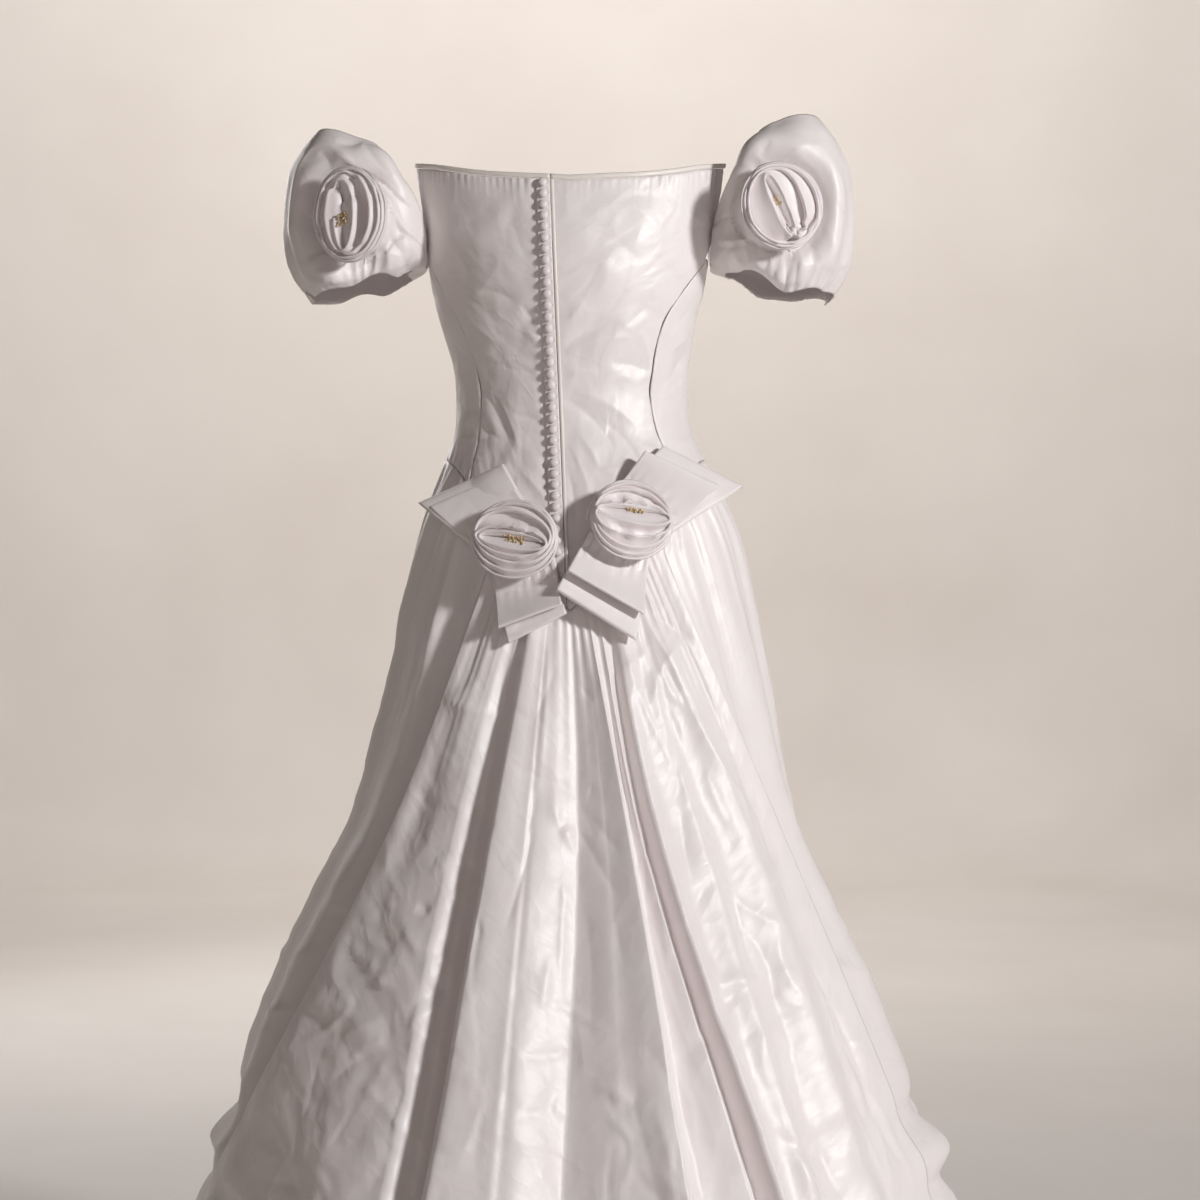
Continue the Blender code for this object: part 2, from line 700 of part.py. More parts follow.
def rose(name):
    """A bias fold of cloth rolled up from a slit, closer at its foot than at its face."""
    half_length, half_across, outer_height, inner_height, turn = ROSES[name][3:]
    base, across, up, out = rose_frame(name)
    count = int(ROSE_TURNS * ROSE_COLUMNS_PER_TURN) + 1
    share = np.linspace(0, 1, count)  # from the outer end to the inner one
    angle = 2 * math.pi * ROSE_TURNS * share
    length = half_length * (1 - (1 - ROSE_SLIT_LENGTH) * share**ROSE_CLOSING)
    width = half_across * (1 - (1 - ROSE_SLIT) * share**ROSE_CLOSING)
    height = outer_height + (inner_height - outer_height) * share
    turn = math.radians(turn)
    grid = []
    for spread, rise in ROSE_PROFILE:
        along = length * np.cos(angle) * spread
        aside = width * np.sin(angle) * spread
        right = along * math.cos(turn) - aside * math.sin(turn)
        above = along * math.sin(turn) + aside * math.cos(turn)
        lift = SEAM + height * rise
        grid.append(base + right[:, None] * across + above[:, None] * up + lift[:, None] * out)
    outer = np.array(grid)[:, ::-1]
    facing = normals(outer)
    facing -= (facing @ out)[..., None] * out
    facing /= np.linalg.norm(facing, axis=-1, keepdims=True)
    return wall(name, outer, outer - ROSE_WALL * facing, BLUSH_DEEP)


def to_plane(point, frame):
    """Sideways place and height turned into the two sizes in a rose's base plane."""
    base, across, up, out = frame
    x, z = point
    y = base[1] - (out[0] * (x - base[0]) + out[2] * (z - base[2])) / out[1]
    offset = np.array([x, y, z]) - base
    return np.array([offset @ across, offset @ up])


def body_clearance(points):
    """How far back these points must move to lie clear of the bodice and the skirt's folds."""
    x, y, height = np.moveaxis(points, -1, 0)
    width = np.where(x > 0, form(height, "left"), form(height, "right"))
    surface = form(height, "back") * np.sqrt(np.clip(1 - (x / width) ** 2, 0, 1))
    angle = np.arcsin(np.clip(x / width, -1, 1))
    folds = np.max(BACK_FOLDS[:, 4]) / 1000 * fold_growth(angle, height)
    need = surface + folds + BOW_CLEAR + 0.5 * BAND_WALL - y
    return np.where(np.abs(x) < width, np.maximum(need, 0), 0)


def bow(name):
    """A flat band doubled at its tip, with its two ends gathered under the rose."""
    rose_name, first, second, stand, opening = BOWS[name]
    frame = rose_frame(rose_name)
    base, across, up, out = frame
    first, second = to_plane(first, frame), to_plane(second, frame)
    direction = 0.5 * (first + second)
    direction /= np.linalg.norm(direction)
    aside = np.array([-direction[1], direction[0]])
    if (first - second) @ aside < 0:
        first, second = second, first
    roots = [direction * BOW_ROOT + aside * BOW_ROOT_HALF_WIDTH * sign for sign in (1, -1)]
    middle = len(BOW_PATH) // 2
    rows = []
    for number, (way, rise) in enumerate(BOW_PATH):
        layer = 0.5 * BOW_LAYERS * np.sign(middle - number)
        layer -= 0.5 * BOW_LAYERS + 0.5 * BAND_WALL + SEAM
        past_flat = max(0.0, way - BOW_FLAT) / (1 - BOW_FLAT)
        lift = layer + rise * opening + stand * past_flat**1.5
        row = []
        for share in np.linspace(0, 1, BOW_COLUMNS):
            start = roots[0] * (1 - share) + roots[1] * share
            end = first * (1 - share) + second * share
            place = start * (1 - way) + end * way
            row.append(base + place[0] * across + place[1] * up + lift * out)
        rows.append(row)
    sheet = np.array(rows)
    # Both layers move out together, by what the one behind needs to clear the body
    push = body_clearance(sheet)
    sheet[..., 1] += np.maximum(push, push[::-1])
    if np.mean(normals(sheet)[0] @ out) < 0:
        sheet = sheet[:, ::-1]
    half = 0.5 * BAND_WALL * normals(sheet)
    return wall(name, sheet + half, sheet - half)


# ---- Sleeves ----


def outside_form(grid):
    """Points moved off the bodice, so that the sleeve only rests against it."""
    height = grid[..., 2]
    near_binding = np.clip((height - SLEEVE_BINDING_FROM) / SLEEVE_BINDING_RISE, 0, 1)
    clear = SLEEVE_CLEAR + (SLEEVE_BINDING_CLEAR - SLEEVE_CLEAR) * near_binding
    angle = np.arctan2(grid[..., 0], grid[..., 1])
    in_front = from_back(angle) > SLEEVE_FRONT_FROM
    clear = np.where(in_front, np.maximum(clear, SLEEVE_FRONT_CLEAR), clear)
    width = half_width(angle, height) + clear
    depth = half_depth(angle, height) + clear
    inside = np.hypot(grid[..., 0] / width, grid[..., 1] / depth)
    push = np.where(inside < 1, 1 / np.maximum(inside, 1e-6), 1)
    moved = grid.copy()
    moved[..., :2] *= push[..., None]
    return moved


def behind_rose(grid, name):
    """Points moved back to the plane of a rose's base where they pass it."""
    base, _, _, out = rose_frame(name)
    past = np.maximum((grid - base) @ out, 0)
    return grid - past[..., None] * out


def sleeve(name, side, centre, rose_name, columns=SLEEVE_COLUMNS, rows=SLEEVE_ROWS):
    """Puffed sleeve, gathered into its lower edge, open above and below."""
    turn = np.arange(columns) * 360 / columns
    upper = curve(turn, SLEEVE_EDGES[:, 0], SLEEVE_EDGES[:, 1 if side > 0 else 2])
    lower = curve(turn, SLEEVE_EDGES[:, 0], SLEEVE_EDGES[:, 3])
    share = 1 - np.linspace(0, 1, rows)[:, None]
    height = lower + (upper - lower) * share
    fullness = curve(share, SLEEVE_FULLNESS[:, 0], SLEEVE_FULLNESS[:, 1])
    sway = SLEEVE_GATHER_SWAY * np.sin(np.radians(turn) * 2)
    wave = np.sin(np.radians(turn) * SLEEVE_GATHERS + sway)
    gather = SLEEVE_GATHER_DEPTH * wave * (1 - SLEEVE_GATHER_FADE * share)
    outwards, back = np.cos(np.radians(turn)), np.sin(np.radians(turn))
    square = (np.abs(outwards) ** SLEEVE_SQUARENESS + np.abs(back) ** SLEEVE_SQUARENESS) ** (
        -1 / SLEEVE_SQUARENESS
    )
    outwards, back = outwards * square, back * square
    x = centre + outwards * (SLEEVE_HALF_WIDTH * fullness + gather)
    y = back * (SLEEVE_HALF_DEPTH * fullness + gather)
    grid = np.stack([side * x, y, height], axis=-1)
    if side > 0:
        grid = grid[:, ::-1]
    grid = behind_rose(outside_form(grid), rose_name)
    return wall(name, grid, grid - WALL * normals(grid, around=True), around=True)


def main():
    for old in list(bpy.data.objects):
        bpy.data.objects.remove(old, do_unlink=True)
    bodice()
    bindings()
    buttons(closing_strips())
    skirt()
    sleeve("sleeve_left", 1, LEFT_SLEEVE_CENTRE, "sleeve_rose_left")
    sleeve("sleeve_right", -1, RIGHT_SLEEVE_CENTRE, "sleeve_rose_right")
    for name in ROSES:
        rose(name)
    for name in BOWS:
        bow(name)


main()
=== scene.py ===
"""Dresses the ball gown's frame: blush taffeta with its folds, gathers and creases.

Metres, +Z up. The wearer faces -Y, and the wearer's left is +X. Angles run from
the centre back (+Y) towards the wearer's left. Tables of folds and creases are
in millimetres. A cloth piece is a fine grid of points, rows from the top down,
with a coarser grid as its inner side.
"""

import math

import bmesh
import bpy
import numpy as np
from bpy.props import FloatProperty, PointerProperty, StringProperty
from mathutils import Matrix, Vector


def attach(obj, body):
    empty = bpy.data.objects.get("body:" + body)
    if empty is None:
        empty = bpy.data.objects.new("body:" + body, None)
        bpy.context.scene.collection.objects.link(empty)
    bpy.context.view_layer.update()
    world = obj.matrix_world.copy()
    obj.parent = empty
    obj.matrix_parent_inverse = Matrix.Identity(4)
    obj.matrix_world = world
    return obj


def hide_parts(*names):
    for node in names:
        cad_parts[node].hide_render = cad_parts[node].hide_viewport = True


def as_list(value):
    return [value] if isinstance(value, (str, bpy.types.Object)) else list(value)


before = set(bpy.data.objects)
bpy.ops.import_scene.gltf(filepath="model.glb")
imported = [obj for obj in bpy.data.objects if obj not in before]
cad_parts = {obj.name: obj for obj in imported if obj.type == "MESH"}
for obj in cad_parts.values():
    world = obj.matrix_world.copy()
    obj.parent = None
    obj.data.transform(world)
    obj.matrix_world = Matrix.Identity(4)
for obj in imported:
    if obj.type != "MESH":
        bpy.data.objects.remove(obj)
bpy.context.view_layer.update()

bl_info = {
    "name": "Ball Gown Dresser",
    "version": (1, 0, 0),
    "blender": (4, 5, 0),
    "location": "3D View > Sidebar > Gown",
    "description": "Sews the cloth pieces of a ball gown on its frame and sets its stage",
    "category": "Object",
}

# ---- The gown's own sizes, in metres unless a name says otherwise ----

HEM = -1.080
BINDING_HEIGHT = 0.005
SEAM = 0.0003
WAIST_CLEAR = 0.0006
UNDERARM = 0.143
SIDE_SEAM = 97
FRONT_SEAM = 140
MEETING_STEPS = 40

FORM_COLUMNS = ("height", "left", "right", "back", "front")
FORM = np.array(
    [
        (-1.080, 0.490, 0.490, 0.560, 0.420),
        (-0.900, 0.415, 0.418, 0.450, 0.365),
        (-0.760, 0.352, 0.360, 0.368, 0.318),
        (-0.600, 0.304, 0.304, 0.290, 0.262),
        (-0.500, 0.258, 0.260, 0.244, 0.228),
        (-0.400, 0.211, 0.218, 0.202, 0.196),
        (-0.300, 0.185, 0.199, 0.166, 0.164),
        (-0.200, 0.168, 0.182, 0.134, 0.136),
        (-0.120, 0.149, 0.164, 0.113, 0.116),
        (-0.060, 0.127, 0.135, 0.094, 0.099),
        (-0.030, 0.1175, 0.1215, 0.088, 0.091),
        (0.000, 0.1150, 0.1160, 0.086, 0.087),
        (0.035, 0.1175, 0.1165, 0.089, 0.093),
        (0.070, 0.1275, 0.1220, 0.095, 0.107),
        (0.110, 0.1375, 0.1305, 0.100, 0.124),
        (0.155, 0.1455, 0.1400, 0.099, 0.130),
        (0.200, 0.1510, 0.1480, 0.092, 0.118),
        (0.250, 0.1580, 0.1560, 0.082, 0.101),
    ]
)
CENTRE_BACK_LOW = (-0.200, 0.003)  # height and sideways place of the closing
CENTRE_BACK_HIGH = (0.215, 0.020)

# Seam lines. Edges are given as angle in degrees, then height.
WAIST_SEAM = np.array(
    [
        (0, -0.205),
        (10, -0.176),
        (20, -0.147),
        (32, -0.116),
        (45, -0.087),
        (60, -0.067),
        (90, -0.055),
        (120, -0.062),
        (150, -0.092),
        (180, -0.140),
    ]
)
BACK_NECK = np.array([(0, 0.2145), (30, 0.2205), (60, 0.2330), (84, 0.2400)])
FRONT_NECK = np.array(
    [(80, 0.143), (97, 0.143), (110, 0.158), (124, 0.192), (140, 0.204), (160, 0.192), (180, 0.176)]
)
# Princess seams of the back: height, then degrees from the centre on each side
PRINCESS_SEAM = np.array(
    [
        (-0.120, 45, 42),
        (-0.060, 48, 45),
        (-0.020, 50, 43),
        (0.010, 50.5, 42),
        (0.040, 53, 44),
        (0.085, 60, 50),
        (0.115, 70, 62),
        (0.143, 80, 76),
        (0.170, 83, 82),
        (0.250, 84, 84),
    ]
)

# Skirt. Fold lines of the back panel from its left edge to its right one:
# sideways place in millimetres at four heights, depth in millimetres, and how
# the cloth turns there, from 1 for a crisp edge to 3 for a wide round.
BACK_STATIONS = (-1.08, -0.76, -0.39, -0.15)
BACK_FOLDS = np.array(
    [
        # hem, calf, thigh, seam, depth, turn
        (440, 328, 152, 72, 18, 1.4),
        (360, 260, 127, 54, 10, 2.2),
        (228, 167, 101, 40, 8, 1.5),
        (208, 149, 86, 34, -12, 1.6),
        (193, 137, 75, 29.5, -27, 1.5),
        (188, 133, 71, 27.5, -22, 1.2),
        (182, 128, 67, 26, 15, 1.1),
        (174, 122, 63, 24, 19, 1.6),
        (96, 70, 38, 17, 10, 1.3),
        (84, 60, 33, 15.5, 5, 1.5),
        (14, 6, -9, 3, -26, 1.15),
        (-78, -55, -32, -2, 0, 1.2),
        (-152, -106, -49, -6, 24, 1.1),
        (-166, -114, -52, -8, 3, 1.5),
        (-184, -125, -54, -11, -4, 2.0),
        (-254, -170, -60, -17, 10, 1.15),
        (-272, -183, -67, -23, -20, 1.7),
        (-290, -195, -75, -29, 15, 1.3),
        (-306, -207, -91, -36, 3, 2.0),
        (-330, -226, -112, -44, 10, 1.2),
        (-344, -240, -126, -51, 0, 1.8),
        (-378, -274, -152, -60, 15, 1.15),
        (-398, -294, -168, -72, 3, 1.3),
        (-442, -330, -184, -89, 14, 1.2),
    ]
)
BACK_DEPTH_COLUMN = 4
BACK_TURN_COLUMN = 5
SIDE_STATIONS = (-1.08, -0.42, -0.06)
LEFT_FOLDS = np.array(
    [
        # degrees at the hem, at the thigh and at the seam, depth in millimetres
        (71, 53, 36, -15),
        (78, 60, 41, 12),
        (87, 72, 52, -1),
        (97, 86, 66, 9),
        (106, 99, 84, -7),
        (115, 111, 102, 6),
        (122, 120, 118, -2),
    ]
)
RIGHT_FOLDS = np.array(
    [
        (75, 63, 42, -8),
        (86, 75, 52, 9),
        (95, 87, 64, -7),
        (104, 97, 78, 8),
        (111, 106, 92, -6),
        (117, 114, 106, 6),
        (122, 120, 118, -2),
    ]
)
FRONT_FOLDS = 13
FRONT_DEPTH = 0.009
FRONT_TURN = 1.5
SIDE_TURN = 1.6
TUCK_DEPTH = 0.013  # how far a side panel's back edge lies behind the back panel's edge
TUCK_START = 0.32
TUCK_OVERLAP = 0.032
FOLD_GROWTH = np.array(
    [(0, 0.0), (0.03, 0.08), (0.10, 0.26), (0.25, 0.56), (0.45, 0.88), (0.60, 1.0), (1.0, 1.12)]
)
SIDE_PUFFS = np.array(
    [(-0.690, 0.016, -0.011), (-0.728, 0.017, 0.013), (-0.760, 0.013, -0.008)]
)
PUFF_START = (52, 74)  # degrees from the centre back between which the puffs rise
PUFF_STOP = (122, 142)
PUFF_EVEN_AT = 86  # degrees near which the puffs are even
PUFF_EVEN_HALF = 4
PUFF_UNEVEN_OVER = 14
PUFF_SWAY = 0.026
SEAM_CALM = 0.022  # how far from a skirt seam the gathers and crumples start
SEAM_ROLL = 0.0012  # how far the cloth rolls in at the waist seam
CRUMPLE_WIDE = 0.075
CRUMPLE_FINE = 0.034
CRUMPLE_SOFT = (0.11, 0.24)  # across and down
GATHER_REACH = 0.09  # how far below the seam the short gathers and the long ones reach
LONG_GATHER_REACH = 0.26
LONG_GATHER_SPACING = 2.6  # as a share of the short gathers' spacing
SIDE_CRUMPLED = 0.8  # how crumpled the skirt is before the sides
# How crumpled the back is, by sideways place in millimetres
CRUMPLED = np.array(
    [
        (-450, 1.0), (-200, 0.8), (-120, 0.4), (-40, 0.2),
        (60, 0.25), (110, 0.8), (160, 1.1), (450, 1.2),
    ]
)
ROW_CROWDING = 1.15  # above 1, the skirt's rows lie closer together near the waist

# Creases, in millimetres: both ends as sideways place and height, bend of the
# middle, half width, and depth (above 0 a ridge, below 0 a trough).
BACK_CREASES = (
    # left of the deep valley
    (137, -476, 125, -482, 1, 3.5, -2.2), (120, -433, 111, -441, 0, 5, 1.6),
    (163, -416, 164, -450, 2, 6, 1.8), (164, -450, 149, -471, 1, 4, 1.7),
    (185, -493, 169, -483, 0, 4, 1.5), (193, -510, 180, -532, -2, 4, 1.9),
    (180, -532, 168, -530, 0, 3, 1.6), (173, -543, 159, -539, 0, 4, 1.3),
    (202, -554, 189, -564, 0, 4, 1.6), (232, -599, 192, -567, -2, 4, 2.2),
    (201, -593, 140, -563, 3, 10, 2.4), (217, -609, 193, -605, 2, 5, 1.8),
    (193, -607, 154, -588, 2, 6, 1.8), (210, -633, 163, -598, 4, 7, -2.6),
    (183, -625, 164, -640, 0, 5, 2), (164, -640, 129, -681, 1, 4.5, 2.6),
    (171, -611, 159, -618, 0, 4, 1.6), (266, -701, 249, -699, 0, 5, 1.8),
    (223, -724, 210, -726, 0, 4, 1.8), (146, -493, 126, -514, -3, 7, 1.6),
    (177, -502, 153, -515, 3, 8, -1.4), (158, -385, 130, -420, 4, 9, -1.5),
    (128, -290, 83, -273, -2, 6, 1.6), (247, -645, 195, -660, 5, 12, -1.6),
    (214, -671, 164, -704, -4, 14, 1.5), (95, -396, 82, -386, 0, 4, -1.4),
    (103, -444, 90, -440, 0, 4, -1.4), (122, -519, 101, -500, 1, 4, -1.8),
    (126, -524, 111, -520, 0, 3, 1.3), (140, -563, 106, -539, 2, 6, -2.4),
    (141, -578, 114, -557, 1, 5, 2), (143, -596, 115, -580, 1, 6, 1.7),
    (153, -610, 131, -620, 0, 4, 1.4),
    # wide panel beside the valley
    (79, -483, 78, -503, 2, 3, -1.4), (55, -430, 44, -443, 0, 5, 1),
    (34, -423, 45, -543, 3, 7, 1.8), (45, -543, 48, -672, 1, 9, 1.6),
    (89, -544, 76, -550, 0, 4, 1.2), (87, -615, 70, -627, 0, 5, 1.3),
    (106, -666, 78, -663, -5, 4, 1.8), (114, -691, 77, -683, 2, 5, 1.5),
    (66, -233, 75, -371, 4, 9, -1.6), (20, -233, 30, -379, 2, 6, 2),
    # middle valley
    (17, -378, 8, -405, 0, 4, 1.8), (8, -405, -7, -412, 0, 4, 1.8),
    (8, -405, -7, -430, 2, 5, 1.6), (3, -443, 7, -561, -1, 4, 1.7),
    (45, -645, 12, -644, 1, 4, -1.1), (-24, -622, -59, -634, 1, 6, 3),
    (-59, -634, -38, -645, 1, 4, -1.5), (-35, -645, -56, -667, 2, 6, 3),
    (-56, -667, -50, -700, 1, 5, 1.8), (-15, -471, -20, -583, 4, 12, -1.6),
    (-5, -559, -14, -620, 3, 9, 1.3),
    # right of the narrow valley
    (-82, -277, -103, -384, 3, 6, -2.4), (-103, -384, -112, -456, -2, 5, -2),
    (-71, -214, -107, -287, 2, 5, 2.6), (-107, -287, -175, -408, -4, 6, 2.4),
    (-77, -207, -128, -238, -2, 5, -2.6), (-87, -254, -107, -293, 1, 4, -1.8),
    (-166, -273, -190, -307, 2, 4, -2.6), (-148, -464, -166, -544, 2, 3.5, -2.2),
    (-145, -464, -193, -499, -3, 5, 1.9), (-193, -499, -207, -547, -3, 5, -1.9),
    (-178, -589, -191, -584, 0, 4, 1.8), (-189, -605, -195, -649, 2, 5, -1.6),
    (-200, -687, -212, -715, 0, 5, 1.5), (-168, -388, -210, -506, -2, 4, 2.2),
    (-210, -506, -251, -611, -2, 4.5, 2.4), (-251, -611, -270, -674, 0, 4, 2),
    (-213, -521, -248, -604, 2, 3, -1.8), (-234, -560, -268, -645, 2, 3, -2),
    (-248, -604, -280, -685, 2, 3, -1.8), (-263, -632, -301, -720, -2, 3, -2),
    (-254, -654, -285, -726, 2, 3, 1.8), (-272, -651, -312, -743, 2, 3, 1.6),
    (-66, -219, -77, -280, 2, 5, -2), (-47, -223, -60, -289, 2, 4, 2),
    (-35, -219, -40, -279, 1, 4, 2.2), (-121, -214, -152, -293, 2, 5, 2.2),
    (-152, -293, -210, -399, -2, 5, 2), (-121, -435, -140, -505, 3, 9, -1.3),
    (-110, -520, -155, -566, 5, 12, 1.4), (-144, -622, -162, -680, 3, 10, 1.4),
    (-122, -345, -155, -429, 4, 10, 1.2), (-79, -468, -89, -540, 2, 6, 1.4),
    (-108, -619, -130, -676, 2, 8, 1.5),
)
LEFT_CREASES = (
    (213, -426, 196, -428, -3, 5, 1.6), (196, -428, 194, -445, -2, 5, 1.6),
    (198, -450, 179, -449, -1, 5, 2.6), (218, -474, 200, -468, 1, 5, 1.5),
    (236, -502, 205, -502, 6, 6, -1.8), (268, -539, 231, -529, 2, 5, 2.4),
    (244, -552, 226, -561, 0, 4, 2.2), (252, -568, 246, -554, 0, 5, -1.5),
    (293, -593, 246, -585, 5, 7, 4), (307, -652, 296, -652, 0, 7, 2.6),
    (327, -711, 303, -714, -2, 6, 3.2), (224, -554, 251, -578, 4, 8, -2.2),
    (287, -629, 265, -648, 3, 9, -2), (298, -671, 287, -694, 2, 8, -2.2),
    (224, -480, 209, -498, 2, 6, 1.8),
)
RIGHT_CREASES = (
    (-252, -536, -285, -563, -2, 6, 2.4), (-272, -589, -285, -616, 0, 6, 2.2),
    (-285, -616, -303, -613, 0, 5, 1.8), (-308, -655, -319, -649, 0, 7, 2.8),
    (-302, -682, -328, -678, -3, 6, 3.4), (-324, -742, -337, -711, 0, 6, 2),
    (-196, -467, -249, -566, -3, 5, 2.2), (-249, -566, -272, -622, 0, 5, 2.2),
    (-272, -622, -325, -748, 3, 5, 2.4), (-290, -646, -313, -708, -4, 8, -2.2),
    (-262, -512, -282, -554, 3, 7, -1.8),
)
BODICE_CREASES = (
    # left panel
    (93, 106, 48, 89, 4, 7, -1.3), (48, 89, 34, 65, 2, 6, -1.2), (110, 98, 68, 52, -4, 9, 1),
    (84, 5, 56, -52, 3, 7, -1.3), (69, -1, 49, -52, 2, 6, 1.1), (99, -18, 68, -40, 0, 5, -1),
    (29, -56, 14, -99, 3, 7, -1.5), (49, -70, 24, -99, 2, 6, 1.2),
    (63, 176, 44, 131, 3, 12, -0.8), (128, 158, 98, 120, 3, 10, -0.8),
    (39, 141, 21, 93, 3, 8, 0.9), (107, 50, 68, 36, 2, 8, 0.8), (78, 38, 34, 25, -3, 9, -0.8),
    (49, 65, 22, 44, 2, 6, 1), (54, -16, 25, -26, 2, 6, -0.9), (68, 131, 98, 97, 3, 9, 0.8),
    (104, 7, 93, -39, 1, 5, 0.9),
    # right panel
    (5, 50, -53, 70, 5, 7, -1.5), (5, 44, -59, 58, 4, 6, 1.3), (-53, 70, -82, 103, -3, 7, -1.2),
    (5, -2, -43, -50, 6, 8, -1.5), (-2, 6, -67, -30, 6, 8, 1.2), (-28, -21, -67, -62, 5, 7, -1.2),
    (-4, -31, -28, -70, 3, 6, 1.1), (-67, 66, -79, 10, 4, 7, 1), (0, 93, -28, 131, -5, 10, -0.9),
    (-14, 160, -67, 131, 6, 13, -0.9), (-48, 190, -91, 154, 5, 12, 0.8),
    (-82, 138, -117, 100, 3, 8, -0.9), (5, 22, -28, 25, 1, 5, 0.9), (-36, 35, -77, 27, 2, 7, -1),
    (4, -41, -19, -99, 3, 6, 1.2), (-28, -70, -75, -55, -3, 7, 1), (10, 69, -14, 93, -2, 6, 0.9),
    (2, -70, -5, -128, 2, 5, -1.2),
    # side backs
    (-121, 101, -99, 69, 2, 6, -1.2), (-118, 72, -95, 47, 2, 5, 1.1),
    (-112, 50, -89, 15, 3, 6, -1.2), (-112, 23, -87, 0, 2, 5, 1), (-116, -5, -89, -24, 1, 6, -1),
    (-128, -35, -95, -39, 2, 6, 1), (-103, 98, -91, 1, 3, 7, 0.8), (137, 105, 113, 65, 2, 6, 1),
    (131, 75, 107, 41, 2, 6, -1), (121, 40, 97, 1, 2, 5, 1), (115, 5, 91, -19, 1, 5, -1),
    (115, -37, 93, -39, 2, 6, 0.9),
)
LEFT_SLEEVE_CREASES = (
    (229, 252, 203, 252, -2, 5, -3), (203, 252, 171, 220, -4, 6, -3),
    (229, 242, 179, 220, -5, 6, 2.5), (264, 186, 238, 143, 4, 7, -4),
    (185, 203, 165, 191, -2, 3, 2), (165, 191, 146, 154, -5, 3.5, 2.4),
    (186, 195, 170, 186, -1, 3, -2), (170, 186, 146, 152, -5, 3, -2.2),
    (170, 181, 175, 177, 0, 3, -2.5), (174, 161, 162, 127, 4, 8, -3.5),
    (217, 139, 215, 120, 2, 4, -2.5), (215, 120, 211, 103, 0, 4, -2.2),
    (200, 139, 193, 116, 2, 6, -2.4), (245, 145, 219, 133, 3, 8, 3),
    (263, 145, 243, 111, 4, 8, 2), (245, 242, 232, 224, 2, 7, -3),
    (162, 221, 142, 179, -4, 8, 2.5), (181, 154, 179, 125, 2, 5, 2.4),
    (161, 162, 150, 127, 3, 6, 2.4), (234, 133, 234, 104, 2, 7, 1.8),
    (271, 179, 263, 133, 4, 6, 2), (260, 130, 241, 104, 3, 5, -1.8),
)
RIGHT_SLEEVE_CREASES = (
    (-175, 223, -183, 234, 1, 4, -2.2), (-183, 234, -195, 249, 1, 5, -2.2),
    (-166, 226, -190, 252, 2, 8, 2), (-137, 174, -152, 181, 1, 4, -2),
    (-143, 161, -174, 157, -4, 5, 3), (-141, 154, -176, 150, -3, 4, -2.5),
    (-159, 151, -166, 131, -4, 5, 3), (-165, 149, -172, 132, -2, 6, -4),
    (-186, 147, -192, 129, 0, 5, -3.5), (-181, 145, -181, 131, 0, 3, 2.5),
    (-216, 151, -210, 118, 2, 5, -2.4), (-223, 150, -220, 111, 2, 6, 2),
    (-234, 156, -232, 111, 3, 8, -3.5), (-248, 169, -254, 125, 4, 7, 2.2),
    (-260, 193, -266, 145, 3, 6, -1.8), (-153, 232, -139, 188, -5, 9, 2),
    (-201, 266, -234, 252, 5, 12, 1.5), (-223, 242, -258, 193, 5, 10, -1.5),
    (-198, 129, -206, 108, 2, 4, 1.8), (-147, 145, -162, 123, -3, 5, -2),
    (-266, 140, -271, 133, 0, 4, 1.5),
)

SIDE_PANELS = {
    # side, folds, creases, fold line of the back panel at its edge, lean of the strewn
    # creases, their seed and the seed of the gathers
    "left": (1, LEFT_FOLDS, LEFT_CREASES, 0, 30, 8, 31),
    "right": (-1, RIGHT_FOLDS, RIGHT_CREASES, len(BACK_FOLDS) - 1, 150, 9, 47),
}

# Sleeves: degrees round the arm from its outer side over the back, the heights
# of the upper edge on the left and the right sleeve, and that of the lower edge
SLEEVE_EDGES = np.array(
    [
        (0, 0.262, 0.274, 0.106),
        (45, 0.269, 0.282, 0.108),
        (90, 0.260, 0.277, 0.112),
        (125, 0.246, 0.259, 0.124),
        (152, 0.210, 0.216, 0.130),
        (180, 0.156, 0.156, 0.130),
        (205, 0.188, 0.190, 0.128),
        (235, 0.226, 0.232, 0.122),
        (270, 0.248, 0.256, 0.113),
        (315, 0.258, 0.268, 0.107),
        (360, 0.262, 0.274, 0.106),
    ]
)
SLEEVE_FULLNESS = np.array(
    [(0, 0.72), (0.12, 0.90), (0.35, 1.0), (0.60, 1.0), (0.80, 0.92), (0.92, 0.78), (1, 0.62)]
)
SLEEVES = {
    # side, centre of the arm, rose, creases
    "sleeve_left": (1, 0.212, "sleeve_rose_left", LEFT_SLEEVE_CREASES),
    "sleeve_right": (-1, 0.207, "sleeve_rose_right", RIGHT_SLEEVE_CREASES),
}
SLEEVE_HALF_WIDTH = 0.0715
SLEEVE_HALF_DEPTH = 0.0760
SLEEVE_SQUARENESS = 2.5
SLEEVE_GATHERS = 7
SLEEVE_GATHER_DEPTH = 0.0035
SLEEVE_CLEAR = 0.0009
SLEEVE_BINDING_CLEAR = 0.0022
SLEEVE_FRONT_CLEAR = 0.0018
SLEEVE_SCALLOP = 0.0035
ROSE_MOAT = 0.0075  # how deep the sleeve is sunk beside its rose, and its swell beyond
ROSE_SWELL = 0.0045

